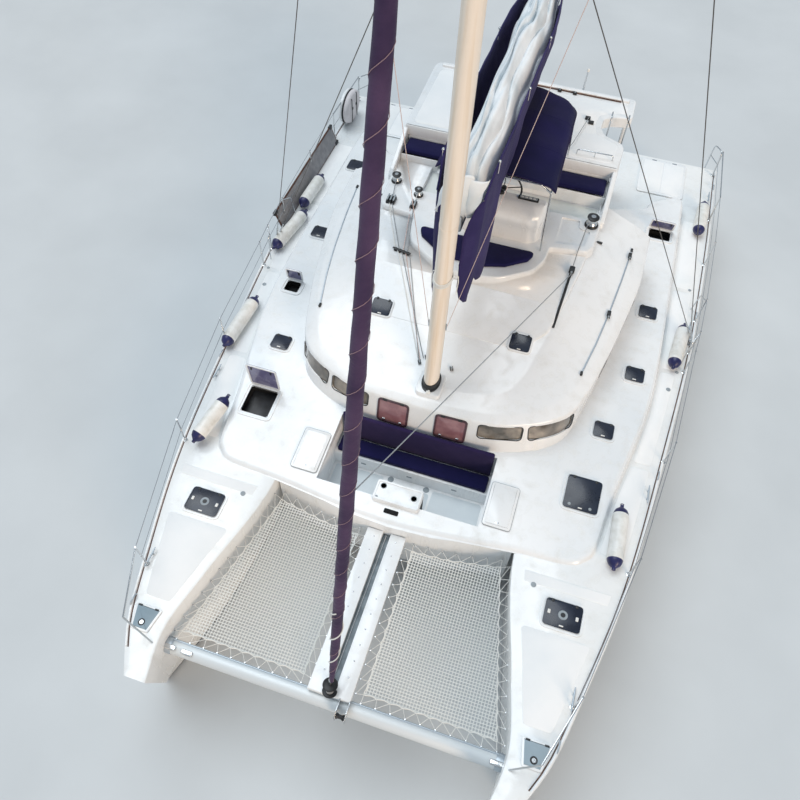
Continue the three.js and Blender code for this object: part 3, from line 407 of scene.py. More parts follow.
class Form:
    """Closed shapes gathered into one mesh. Each face keeps the number of its material."""

    def __init__(self):
        self.verts = []
        self.faces = []
        self.inks = []

    def add(self, verts, faces, ink=0):
        start = len(self.verts)
        self.verts += [tuple(v) for v in verts]
        self.faces += [[start + i for i in face] for face in faces]
        self.inks += [ink] * len(faces)

    def loft(self, rings, ink=0, caps=True, closed=True):
        """A skin through rings of equal length."""
        count = len(rings[0])
        faces = []
        for r in range(len(rings) - 1):
            for i in range(count if closed else count - 1):
                a, b = r * count + i, r * count + (i + 1) % count
                faces.append((a, b, b + count, a + count))
        if caps:
            end = (len(rings) - 1) * count
            faces.append(range(count))
            faces.append(range(end, end + count))
        self.add([p for ring in rings for p in ring], faces, ink)

    def plate(self, outline, z0, z1, ink=0):
        self.loft([[(x, y, z) for x, y in outline] for z in (z0, z1)], ink)

    def slab(self, outline, low, high, edge=0.01, ink=0, place=None):
        """A plate with its edges rounded off. place turns a point of the plate into a point of the boat."""
        rings = []
        for w, pull in ((low, edge * 0.6), (low + edge * 0.6, 0), (high - edge, 0),
                        (high - edge * 0.3, edge * 0.3), (high, edge)):
            ring = [(u, v, w) for u, v in grown(outline, -pull)]
            rings.append([place(*point) for point in ring] if place else ring)
        self.loft(rings, ink)

    def collar(self, outer, inner, low, high, ink=0, place=None):
        """A frame with a square section between two outlines of as many points."""
        section = ((outer, low), (outer, high), (inner, high), (inner, low), (outer, low))
        rings = [[(u, v, w) for u, v in line] for line, w in section]
        if place:
            rings = [[place(*point) for point in ring] for ring in rings]
        self.loft(rings, ink, caps=False)

    def box(self, low, high, ink=0):
        corners = [(low[0], low[1]), (high[0], low[1]), (high[0], high[1]), (low[0], high[1])]
        self.plate(corners, low[2], high[2], ink)

    def tube(self, points, radius, sides=8, ink=0, flat=1.0):
        """A round bar along points. radius is one size or one for each point; flat squashes it across."""
        points = [Vector(p) for p in points]
        radii = radius if isinstance(radius, (list, tuple)) else [radius] * len(points)
        along = [(points[min(i + 1, len(points) - 1)] - points[max(i - 1, 0)]).normalized()
                 for i in range(len(points))]
        side = along[0].cross((0, 0, 1) if abs(along[0].z) < 0.9 else (1, 0, 0)).normalized()
        rings = []
        for point, way, size in zip(points, along, radii):
            side = (side - way * side.dot(way)).normalized()
            other = way.cross(side)
            rings.append([
                point + side * math.cos(t) * size + other * math.sin(t) * size * flat
                for t in turns(sides)
            ])
        self.loft(rings, ink)

    def turned(self, profile, place, way=(0, 0, 1), sides=20, ink=0):
        """A shape turned round an axis from (radius, height) pairs."""
        turn = Vector(way).to_track_quat("Z", "Y").to_matrix()
        rings = [[Vector(place) + turn @ Vector((math.cos(t) * r, math.sin(t) * r, h))
                  for t in turns(sides)] for r, h in profile]
        self.loft(rings, ink)

    def button(self, u, v, profile, sides, ink, place):
        """A round fitting on a lid or panel, from (radius, height) pairs."""
        def circle(r, h):
            return [place(u + math.cos(t) * r, v + math.sin(t) * r, h) for t in turns(sides)]

        self.loft([circle(r, h) for r, h in profile], ink)

    def piece(self, name, looks, body="boat", bevel=0.0, smooth=38, slot=None, stands_for=()):
        """The finished object, riding on a body. bevel rounds its sharp edges."""
        mesh = bpy.data.meshes.new(name)
        mesh.from_pydata(self.verts, [], [list(face) for face in self.faces])
        for look in looks:
            mesh.materials.append(MATERIALS[look])
        mesh.polygons.foreach_set("material_index", self.inks)
        return finished(name, mesh, body, bevel, smooth, stands_for)


def welded(mesh):
    """The mesh opened for editing, with points that meet joined and its faces turned outward."""
    bm = bmesh.new()
    bm.from_mesh(mesh)
    bmesh.ops.remove_doubles(bm, verts=bm.verts, dist=1e-5)
    bmesh.ops.recalc_face_normals(bm, faces=bm.faces)
    return bm


def finished(name, mesh, body, bevel=0.0, smooth=38, stands_for=()):
    """A mesh as a piece of the boat: welded, its sharp edges bevelled, riding on its body."""
    bm = welded(mesh)
    if bevel:
        sharp = [e for e in bm.edges if len(e.link_faces) == 2 and e.calc_face_angle() > math.radians(32)]
        bmesh.ops.bevel(bm, geom=sharp, offset=bevel, segments=2, affect="EDGES", clamp_overlap=True,
                        profile=0.5)
    for face in bm.faces:
        face.smooth = True
    bm.to_mesh(mesh)
    bm.free()
    mesh.set_sharp_from_angle(angle=math.radians(smooth))
    made = bpy.data.objects.new(name, mesh)
    bpy.context.scene.collection.objects.link(made)
    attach(made, body)
    if stands_for:
        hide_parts(*stands_for)
    return made


def apply_modifiers(made):
    graph = bpy.context.evaluated_depsgraph_get()
    mesh = bpy.data.meshes.new_from_object(made.evaluated_get(graph))
    made.modifiers.clear()
    made.data = mesh


def carve(made, cutter, smooth=30):
    """Takes the cutter's shapes out of a piece, and marks its sharp edges again."""
    tool = bpy.data.meshes.new("cutter")
    tool.from_pydata(cutter.verts, [], [list(face) for face in cutter.faces])
    tool.polygons.foreach_set("material_index", cutter.inks)
    bm = welded(tool)
    bm.to_mesh(tool)
    bm.free()
    block = bpy.data.objects.new("cutter", tool)
    bpy.context.scene.collection.objects.link(block)
    cut = made.modifiers.new("cut", "BOOLEAN")
    cut.operation = "DIFFERENCE"
    cut.solver = "EXACT"
    cut.use_self = True
    cut.object = block
    apply_modifiers(made)
    made.data.set_sharp_from_angle(angle=math.radians(smooth))
    bpy.data.objects.remove(block)


def steps(count):
    return [i / (count - 1) for i in range(count)]


def hermite(values, t):
    """A smooth curve through evenly numbered values, with no overshoot, at t from 0 to the last number."""
    i = min(int(t), len(values) - 2)
    f = t - i

    def slope(k):
        if k <= 0 or k >= len(values) - 1:
            return values[min(k + 1, len(values) - 1)] - values[max(k - 1, 0)]
        before, after = values[k] - values[k - 1], values[k + 1] - values[k]
        return 0.0 if before * after <= 0 else 2 * before * after / (before + after)

    a, b = values[i], values[i + 1]
    p, q = slope(i), slope(i + 1)
    return (a * (1 + 2 * f) * (1 - f) ** 2 + b * f * f * (3 - 2 * f)
            + p * f * (1 - f) ** 2 - q * f * f * (1 - f))


def spline(points, per=6, closed=False):
    """Points on a round curve through the given ones."""
    count = len(points)
    points = [Vector(p) for p in points]
    out = []
    for i in range(count if closed else count - 1):
        if closed:
            p0, p1, p2, p3 = (points[(i + k) % count] for k in (-1, 0, 1, 2))
        else:
            p1, p2 = points[i], points[i + 1]
            p0 = points[i - 1] if i else p1 * 2 - p2
            p3 = points[i + 2] if i + 2 < count else p2 * 2 - p1
        for k in range(per):
            t = k / per
            out.append(0.5 * (p1 * 2 + (p2 - p0) * t + (p0 * 2 - p1 * 5 + p2 * 4 - p3) * t * t
                              + (p1 * 3 - p0 - p2 * 3 + p3) * t ** 3))
    return out if closed else out + [points[-1]]


def rounded(outline, radius, per=5):
    """A closed outline in the plane with its corners rounded. radius is one size or one for each corner."""
    out = []
    count = len(outline)
    for i in range(count):
        before, here, after = (Vector(outline[(i + k) % count]) for k in (-1, 0, 1))
        size = radius[i] if isinstance(radius, (list, tuple)) else radius
        back, on = before - here, after - here
        half = back.angle(on) / 2
        reach = min(size / max(math.tan(half), 1e-3), back.length * 0.48, on.length * 0.48)
        start, end = here + back.normalized() * reach, here + on.normalized() * reach
        for k in range(per + 1):
            t = k / per
            out.append(start * (1 - t) ** 2 + here * 2 * t * (1 - t) + end * t * t)
    return [(p.x, p.y) for p in out]


def grown(outline, size):
    """A closed outline moved outward, point by point."""
    count = len(outline)
    area = sum(outline[i - 1][0] * outline[i][1] - outline[i][0] * outline[i - 1][1] for i in range(count))
    size = size if area > 0 else -size
    out = []
    for i, (x, y) in enumerate(outline):
        way = (Vector(outline[(i + 1) % count]) - Vector(outline[i - 1])).normalized()
        out.append((x + way.y * size, y - way.x * size))
    return out


def heights(*names):
    """Looks straight down on finished pieces: a function that gives the height of their top at x, y."""
    graph = bpy.context.evaluated_depsgraph_get()
    trees = [BVHTree.FromObject(bpy.data.objects[name], graph) for name in names]

    def top(x, y):
        hits = [tree.ray_cast(Vector((x, y, 6)), Vector((0, 0, -1)))[0] for tree in trees]
        return max(hit.z for hit in hits if hit)

    return top


def box_outline(x0, y0, x1, y1, radius, per=5):
    return rounded([(x0, y0), (x1, y0), (x1, y1), (x0, y1)], radius, per)


def copied(node, look, body, bevel):
    """A CAD solid with its edges rounded."""
    mesh = NODES[node].data.copy()
    mesh.materials.clear()
    mesh.materials.append(MATERIALS[look])
    bm = bmesh.new()
    bm.from_mesh(mesh)
    bmesh.ops.remove_doubles(bm, verts=bm.verts, dist=2e-5)
    bmesh.ops.dissolve_limit(bm, angle_limit=math.radians(0.6), verts=bm.verts, edges=bm.edges)
    bm.to_mesh(mesh)
    bm.free()
    if mesh.has_custom_normals:
        mesh.attributes.remove(mesh.attributes["custom_normal"])
    return finished("dressed_" + node, mesh, body, bevel, stands_for=(node,))


# Hulls

# Each station: y of the deck, of the waterline and of the keel line, the hull's own axis, the keel line's
# height, half the waterline's breadth, and the deck's outer and inner edge
HULL_STATIONS = [
    (BOW_Y, -7.29, -7.08, 2.77, -0.30, 0.025, 2.66, 2.33),
    (-7.0, -6.8, -6.65, 2.78, -0.48, 0.19, 3.01, 2.44),
    (-6.0, -5.93, -5.83, 2.81, -0.60, 0.43, 3.28, 2.25),
    (-4.3, -4.3, -4.3, 2.90, -0.68, 0.69, 3.65, 1.92),
    (-2.0, -2.0, -2.0, 2.99, -0.72, 0.83, 3.92, 1.90),
    (1.0, 1.0, 1.0, 3.06, -0.72, 0.85, 4.18, 1.90),
    (4.0, 4.0, 4.0, 3.09, -0.60, 0.82, 4.26, 1.90),
    (5.95, 5.95, 5.95, 3.10, -0.42, 0.78, 4.26, 2.00),
    (7.0, 7.0, 7.0, 3.10, -0.30, 0.74, 4.20, 2.08),
    (STERN_Y, STERN_Y, STERN_Y, 3.10, -0.15, 0.70, 4.12, 2.12),
]
STERN_SHEER = 0.62
STERN_STEPS = [(5.95, 1.64), (6.25, 1.33), (6.55, 1.02), (6.85, 0.71), (7.15, 0.40)]
# Deck hatches: name, x and y of the middle, width, length, on the raised deck or not
HATCHES = [
    ("vent_hatch", 2.785, -5.06, 0.54, 0.40, False),
    ("mid_hatch", 2.71, -3.165, 0.54, 0.56, True),
    ("fore_hatch", 2.83, -1.95, 0.33, 0.31, True),
    ("waist_hatch", 3.17, -0.64, 0.33, 0.31, True),
    ("side_hatch", 3.22, 0.88, 0.33, 0.31, True),
    ("aft_hatch", 3.2, 3.08, 0.48, 0.33, True),
]
HATCH_LEDGE = 0.035
BOW_LID = [(2.57, -6.76), (2.63, -7.11), (2.89, -7.11), (2.98, -6.76)]
BOW_LOCKER = {"middle": (2.77, -6.935), "share": 0.8, "depth": 0.5}
ENGINE_ROOM = {"middle": 3.1, "half": 0.44, "front": 4.70, "back": 5.80, "floor": -0.18}


def stern_treads(last):
    """Fore edge, height and aft edge of each stern step, the lowest one ending at last."""
    ends = [y for y, _ in STERN_STEPS[1:]] + [last]
    return [(y, z, end) for (y, z), end in zip(STERN_STEPS, ends)]


def station(t):
    """The hull's station at t, from 0 at the bow to 9 at the stern."""
    return [hermite([row[k] for row in HULL_STATIONS], t) for k in range(8)]


def sheer_at(y):
    """Height of the hull's upper edge, which falls along the stern steps."""
    if y <= STEPS_FROM:
        return SHEER
    return SHEER + (STERN_SHEER - SHEER) * (y - STEPS_FROM) / (STERN_Y - STEPS_FROM)


def hull_ring(t):
    """The hull's section at station t, from the keel line out over the deck and back."""
    y_deck, y_water, y_keel, axis, keel, half, outer, inner = station(t)
    sheer = sheer_at(y_deck)
    knuckle = min(0.85, sheer - 0.1)
    bilge = [(math.sin(a), math.cos(a)) for a in (math.pi / 2 * k / 7 for k in range(1, 8))]
    edge = 0.03
    side = [(x * half, z * keel) for x, z in bilge]

    def flank(way, rim):
        turn = axis + way * half
        low = turn + (rim - turn) * 0.72
        points = [(axis + way * x, z) for x, z in side]
        points += [(turn + (low - turn) * 0.5, knuckle * 0.5), (low, knuckle)]
        points += [(low + (rim - low) * 0.5, (knuckle + sheer) / 2), (rim, sheer - edge)]
        return points + [(rim - way * edge * 0.3, sheer - edge * 0.3), (rim - way * edge, sheer)]

    section = [(axis, keel)] + flank(1, outer) + list(reversed(flank(-1, inner)))

    def y_at(z):
        if z >= 0:
            return y_water + (y_deck - y_water) * z / sheer
        return y_water + (y_keel - y_water) * z / keel

    return [(x, y_at(z), z) for x, z in section]


def on_deck(points, x, y, raised):
    """Points made about the origin on a level deck, set down on the deck at x, y."""
    turn = math.atan(RAMP_SLOPE) if raised and y < RAMP_TO else 0.0
    z = raised_z(y) if raised else SHEER
    place = Matrix.Translation((x, y, z)) @ Matrix.Rotation(turn, 4, "X")
    return [place @ Vector(p) for p in points]


def hatch_well(cutter, hatch, sign):
    """The well under a deck hatch, to cut out of the deck; its walls are black painted shade."""
    _, x, y, width, length, raised = hatch
    a, b = width / 2 - HATCH_LEDGE, length / 2 - HATCH_LEDGE
    outline = box_outline(-a, -b, a, b, 0.045, 3)
    rings = [on_deck([(u, v, z) for u, v in outline], x, y, raised) for z in (-0.38, 0.05)]
    cutter.loft([[(sign * p.x, p.y, p.z) for p in ring] for ring in rings], 1)


def keel_ring(z, x, start, end, half, count=14):
    """A fin's section: round ahead and thin behind."""
    ring = []
    for i in range(count):
        t = 2 * math.pi * i / count
        along = 0.5 - 0.5 * math.cos(t)
        thick = half * math.sin(t) * (1.25 - 0.75 * along)
        ring.append((x + thick, start + (end - start) * along, z))
    return ring


def hulls():
    """Both hulls with their wells and stern steps cut out, their stub keels and their drive legs."""
    for side, sign in SIDES:
        form = Form()
        rings = [hull_ring(9 * t) for t in steps(55)]
        form.loft([[(sign * x, y, z) for x, y, z in ring] for ring in rings])
        # The second material, black painted shade, lines the hatch wells cut below.
        made = form.piece("hull_skin_" + side, ["hull", "dark"], stands_for=("hull_" + side,), slot="gelcoat")
        cutter = Form()
        hatch_well(cutter, HATCHES[0], sign)
        x0, y0 = BOW_LOCKER["middle"]
        share = BOW_LOCKER["share"]
        well = [(sign * (x0 + (x - x0) * share), y0 + (y - y0) * share) for x, y in BOW_LID]
        cutter.plate(well, SHEER - BOW_LOCKER["depth"], SHEER + 0.05)
        room, x = ENGINE_ROOM, sign * ENGINE_ROOM["middle"]
        cutter.box((x - room["half"], room["front"], room["floor"]),
                   (x + room["half"], room["back"], SHEER + 0.05))
        profile = [(STERN_STEPS[0][0], RAISED)]
        for y, z, after in stern_treads(STERN_Y + 0.1):
            profile += [(y, z), (after, z)]
        profile.append((STERN_Y + 0.1, RAISED))
        soft = rounded(profile, 0.03, 2)
        cutter.loft([[(sign * x, y, z) for y, z in soft] for x in (2.42, 3.9)])
        carve(made, cutter)
        fin = Form()
        fin.loft([keel_ring(z, sign * 3.04, a, b, h) for z, a, b, h in (
            (-1.4, -0.62, 1.52, 0.07), (-1.36, -0.65, 1.55, 0.105), (-0.9, -0.83, 1.63, 0.135),
            (-0.45, -1.0, 1.7, 0.165))])
        fin.piece("stub_keel_" + side, ["antifouling"], slot="antifouling", smooth=60)
        leg = Form()
        leg.loft([keel_ring(z, sign * 3.095, a, b, h) for z, a, b, h in (
            (-1.06, 4.19, 4.45, 0.04), (-0.7, 4.14, 4.47, 0.046), (-0.35, 4.1, 4.49, 0.055))])
        leg.turned([(0.002, -0.24), (0.04, -0.22), (0.068, -0.16), (0.075, -0.05), (0.075, 0.12),
                    (0.06, 0.22), (0.045, 0.24)], (sign * 3.095, 4.32, -1.06), (0, 1, 0))
        leg.piece("drive_leg_" + side, ["alloy"], slot="alloy", stands_for=("saildrive_" + side,), smooth=50)


# Decks

RAISED_EDGE = [(0, -4.48), (0.7, -4.44), (1.9, -4.31), (2.7, -4.26), (2.94, -4.13), (3.06, -3.9),
               (3.16, -3.07), (3.32, -2.23), (3.49, -1.25), (3.57, 0), (3.59, 3.1)]
RAISED_END = [(3.59, 4.16), (3.569, 4.321), (3.508, 4.404), (3.404, 4.408), (3.26, 4.334), (3.0, 4.155),
              (2.93, 4.095), (2.895, 4.01), (2.885, 3.93), (2.85, 3.865), (2.77, 3.81), (1.84, 3.48)]
WELL = {"half": 1.31, "front": -4.15, "back": -2.96, "floor": 1.33, "seat": 1.65, "riser": -3.40}
DECK_FOOT = SHEER - 0.002


def across(half, z_at):
    """A ring of points over one half outline and back over its mirror image."""
    right = [(x, y, z_at(x, y)) for x, y in half]
    return right + [(-x, y, z) for x, y, z in reversed(right)]


def offset(half, distance):
    """A half outline moved outward, its first and last points kept on their own lines."""
    out = []
    for i, (x, y) in enumerate(half):
        a = Vector(half[max(i - 1, 0)])
        b = Vector(half[min(i + 1, len(half) - 1)])
        way = (b - a).normalized()
        out.append((x + way.y * distance if x > 0 else 0.0, y - way.x * distance))
    return out


def strips(form, half, z_at, upto):
    """A top made of strips from side to side, and of one flat face aft of point upto."""
    ring = across(half, z_at)
    count = len(ring)
    faces = [(i, i + 1, count - 2 - i, count - 1 - i) for i in range(upto)]
    form.add(ring, faces + [range(upto, count - upto)])


def raised_deck():
    """The deck round the house: a soft shoulder down to the side decks and a ramp down ahead."""
    half = [(p.x, p.y) for p in spline([(x, y, 0) for x, y in RAISED_EDGE], 5)] + RAISED_END
    half = [(max(x, 0.0), y) for x, y in half]
    form = Form()
    # Profile of the edge: moved out from the shoulder, and share of the height over the side deck
    profile = [(0.05, 0.0), (0.028, 0.12), (0.018, 0.35), (0.0, 0.7), (-0.016, 0.88), (-0.05, 0.985),
               (-0.09, 1.0)]
    rings = []
    for out, share in profile:
        def z_at(x, y, share=share):
            return DECK_FOOT + (raised_z(y) - DECK_FOOT) * share
        rings.append(across(offset(half, out), z_at))
    form.loft([[Vector(p) for p in ring] for ring in rings], caps=False)
    straight = len(half) - len(RAISED_END) - 1
    strips(form, offset(half, -0.09), lambda x, y: raised_z(y), straight)
    strips(form, offset(half, 0.05), lambda x, y: DECK_FOOT, straight)
    # The second material, black painted shade, lines the hatch wells cut below.
    made = form.piece("raised_deck_shell", ["white", "dark"], stands_for=("raised_deck",), slot="gelcoat")
    cutter = Form()
    cutter.box((-WELL["half"], WELL["front"], 1.9), (WELL["half"], WELL["back"], 2.4))
    cutter.plate(house_plan(0.12), 1.9, 2.4)
    for _, sign in SIDES:
        for hatch in HATCHES[1:]:
            hatch_well(cutter, hatch, sign)
    carve(made, cutter)


# House: x and y at the foot, then x, y and height of the eave, of the shoulder and of the roof's ridge
HOUSE_CORNERS = [
    (0, -2.95, 0, -2.83, 2.74, 0, -2.70, 2.80, 0, -2.42, 2.86),
    (0.93, -2.92, 0.93, -2.80, 2.74, 0.85, -2.67, 2.80, 0.62, -2.40, 2.865),
    (1.65, -2.74, 1.64, -2.60, 2.74, 1.50, -2.48, 2.815, 1.08, -2.25, 2.90),
    (2.22, -2.33, 2.24, -2.15, 2.78, 2.02, -2.04, 2.88, 1.33, -1.90, 2.99),
    (2.48, -1.45, 2.50, -1.35, 2.83, 2.35, -1.27, 2.95, 1.57, -1.15, 3.20),
    (2.66, -0.35, 2.71, -0.35, 2.88, 2.56, -0.33, 3.01, 1.74, -0.30, 3.39),
    (2.85, 1.00, 2.90, 1.00, 2.92, 2.67, 1.00, 3.06, 1.90, 1.00, 3.40),
    (2.87, 2.05, 2.92, 2.05, 2.93, 2.69, 2.05, 3.07, 1.95, 2.05, 3.40),
]
HOUSE_AFT = 2.05
# The ridge's level, counted from 0 at the foot over 1 at the eave and 2 at the shoulder
ROOF = 3
WALL_CUT = 0.33
# Windows: x and y of the middle, the wall's bearing, width, sill and head
WINDOWS = [
    (0.475, -2.88, 0.02, 0.51, 2.22, 2.70),
    (1.25, -2.80, 0.19, 0.70, 2.41, 2.70),
    (1.99, -2.40, 0.72, 0.80, 2.40, 2.70),
    (2.69, -0.45, 1.40, 1.30, 2.40, 2.76),
    (2.87, 1.05, 1.55, 1.30, 2.40, 2.80),
]


def eased(points, level, reach=0.13):
    """A point along a line of points, numbered by level, with its corners rounded off."""
    k = round(level)
    if 0 < k < len(points) - 1 and abs(level - k) < reach:
        a, b = points[k].lerp(points[k - 1], reach), points[k].lerp(points[k + 1], reach)
        t = (level - k + reach) / (2 * reach)
        return a * (1 - t) ** 2 + points[k] * 2 * t * (1 - t) + b * t * t
    k = min(int(level), len(points) - 2)
    return points[k].lerp(points[k + 1], level - k)


def house_ring(level, inset):
    """One level round the house, moved inward by inset."""
    corners = []
    for row in HOUSE_CORNERS:
        foot = Vector((row[0], row[1], raised_z(row[1])))
        corners.append(eased([foot, Vector(row[2:5]), Vector(row[5:8]), Vector(row[8:11])], level))
    curve = [Vector([hermite([c[k] for c in corners], t * 7) for k in range(3)]) for t in steps(43)]
    half = [(max(p.x, 0.0), min(p.y, HOUSE_AFT)) for p in curve]
    moved = offset(half, -inset)
    right = [(max(x, 0.0), min(y, HOUSE_AFT - inset), p.z) for (x, y), p in zip(moved, curve)]
    right[0] = (0.0, right[0][1], right[0][2])
    return right + [(-x, y, z) for x, y, z in reversed(right)]


def house_plan(inset):
    """The house's outline at its foot, moved inward, with the cockpit's width run on past the deck."""
    ring = house_ring(0, inset)
    half = [(x, y) for x, y, _ in ring[:len(ring) // 2]]
    half += [(1.84, half[-1][1]), (1.84, 3.95)]
    return half + [(-x, y) for x, y in reversed(half) if x > 1e-6]


def house_shell(form, inset, drop, foot_drop, levels):
    """A closed skin through levels of the house. drop lowers the roof, and foot_drop the foot."""
    rings = []
    for level in levels:
        ring = house_ring(min(level, ROOF), inset + max(level - ROOF, 0))
        down = drop if level > 1 else foot_drop if level == 0 else 0
        rings.append([(x, y, z - down) for x, y, z in ring])
    count = len(rings[0])
    form.loft(rings, caps=False)
    half = count // 2
    for ring in (rings[0], rings[-1]):
        form.add(ring, [(i, i + 1, count - 2 - i, count - 1 - i) for i in range(half - 1)])


def window_outline(window):
    """A window's edge, as distances along the wall and heights."""
    width, sill, head = window[3:]
    return box_outline(-width / 2, sill, width / 2, head, 0.07, 4)


def window_box(form, window, sign):
    """The window's outline drawn through the wall, to cut it with."""
    x, y, bearing = window[:3]
    place = Matrix.Translation((x, y, 0)) @ Matrix.Rotation(bearing, 4, "Z")
    rings = [[place @ Vector((u, v, w)) for u, w in window_outline(window)] for v in (-WALL_CUT, WALL_CUT)]
    form.loft([[(sign * p.x, p.y, p.z) for p in ring] for ring in rings])


def house():
    form = Form()
    house_shell(form, 0, 0, 0.01, (0, 0.5, 0.87, 0.91, 0.96, 1.0, 1.04, 1.09, 1.13, 1.5, 1.87, 1.93, 2.0,
                                   2.07, 2.13, 2.5, 2.9, ROOF, ROOF + 0.04))
    made = form.piece("house_shell", ["white"], stands_for=("house",), slot="gelcoat", smooth=32)
    hollow = Form()
    house_shell(hollow, 0.06, 0.06, 0.05, (0, 0.5, 0.95, 1.05, 1.5, 2.0, 2.5, ROOF))
    carve(made, hollow, 28)
    cutter = Form()
    for _, sign in SIDES:
        for window in WINDOWS:
            window_box(cutter, window, sign)
    cutter.box((-1.84, 1.75, 1.0), (1.84, 2.15, 3.24))
    carve(made, cutter, 28)
    seat = Form()
    seat.loft([[(x, y, z) for x, y in box_outline(-0.19 - g, -2.65 - g, 0.19 + g, -2.15 + g, 0.08)]
               for g, z in ((0.012, 2.75), (0.012, 2.885), (0.006, 2.897), (-0.008, MAST_FOOT))])
    seat.piece("mast_seat", ["white"], slot="gelcoat", smooth=40)


def saloon_glass():
    """One smoked band just inside the wall, seen in every window."""
    levels = (0.12, 0.5, 0.985)
    outer = [house_ring(level, 0.022) for level in levels]
    inner = [house_ring(level, 0.036) for level in reversed(levels)]
    form = Form()
    half = len(outer[0])
    loop = outer + inner + [outer[0]]
    form.loft(loop, caps=False, closed=False)
    ends = [[ring[i] for ring in outer + inner] for i in (0, half - 1)]
    for end in ends:
        form.add(end, [range(len(end))])
    form.piece("saloon_window_band", ["glass"], stands_for=("saloon_glass",), slot="tinted_glass", smooth=60)


def wall_line(z, count=160):
    """Points round the port half of the house's wall at one height, from the middle of its front aft."""
    line = []
    for t in (7 * k / (count - 1) for k in range(count)):
        foot = [hermite([c[k] for c in HOUSE_CORNERS], t) for k in (0, 1)]
        eave = [hermite([c[k] for c in HOUSE_CORNERS], t) for k in (2, 3, 4)]
        base = raised_z(foot[1])
        share = min(max((z - base) / (eave[2] - base), 0), 1)
        line.append(Vector((foot[0] + (eave[0] - foot[0]) * share, foot[1] + (eave[1] - foot[1]) * share)))
    return line


def on_window(window, sign):
    """A function that sets a point on the wall: u along it, v its height and w out of it."""
    middle, bearing = Vector(window[:2]), window[2]
    way = Vector((math.cos(bearing), math.sin(bearing)))
    out = Vector((math.sin(bearing), -math.cos(bearing)))
    lines = {}

    def place(u, v, w):
        level = round(v, 3)
        if level not in lines:
            lines[level] = [p - middle for p in wall_line(level)]
        for a, b in zip(lines[level], lines[level][1:]):
            near, far = a.dot(way) - u, b.dot(way) - u
            if near <= 0 <= far and abs(a.dot(out)) < 0.4:
                spot = middle + a.lerp(b, near / (near - far) if far > near else 0) + out * w
                return (sign * spot.x, spot.y, v)
        return (sign * (middle.x + way.x * u), middle.y + way.y * u, v)
    return place


def window_seals():
    """A thin black gasket round each window, and a hinged pane in its dark frame in the two that open."""
    gaskets, panes = Form(), Form()
    for _, sign in SIDES:
        for i, window in enumerate(WINDOWS):
            sill, head = window[4:]
            outline = window_outline(window)
            place = on_window(window, sign)
            gaskets.tube([place(u, v, 0.0) for u, v in outline + outline[:2]], 0.008, 6, 0)
            if i == 0:
                panes.collar(grown(outline, 0.004), grown(outline, -0.024), -0.006, 0.018, 3, place)
                panes.slab(grown(outline, -0.020), -0.004, 0.008, 0.003, 1, place)
                for u in (-0.14, 0.14):
                    latch = box_outline(u - 0.025, sill + 0.05, u + 0.025, sill + 0.075, 0.008)
                    hinge = box_outline(u - 0.035, head - 0.02, u + 0.035, head + 0.01, 0.008)
                    panes.slab(latch, 0.006, 0.022, 0.004, 2, place)
                    panes.slab(hinge, 0.010, 0.026, 0.004, 0, place)
    gaskets.piece("window_gaskets", ["black"], slot="black_plastic", smooth=60)
    panes.piece("opening_windows", ["black", "pane", "steel", "frame"], slot="acrylic", smooth=50)


# Nets ahead of the bridge deck

NET_CORNERS = [(0.44, -4.67), (1.00, -4.63), (1.80, -4.49), (2.31, -6.86), (0.44, -6.86)]
NET_FRAME = [(0.33, -4.565), (1.00, -4.52), (1.915, -4.34), (2.44, -6.985), (0.33, -6.985)]
NET_PITCH = 0.044


def inside_span(outline, axis, value):
    """Where a line across an outline at x or y = value enters and leaves it."""
    hits = []
    for i, a in enumerate(outline):
        b = outline[(i + 1) % len(outline)]
        if (a[axis] - value) * (b[axis] - value) < 0:
            t = (value - a[axis]) / (b[axis] - a[axis])
            hits.append(a[1 - axis] + (b[1 - axis] - a[1 - axis]) * t)
    return (min(hits), max(hits)) if len(hits) == 2 else None


def net_height(x, y):
    """The net sags a little between its edges."""
    u = min(max((x - 0.4) / 1.7, 0), 1)
    v = min(max((y + 6.9) / 2.3, 0), 1)
    return NET_Z - 0.006 - 0.055 * math.sin(math.pi * u) * math.sin(math.pi * v)


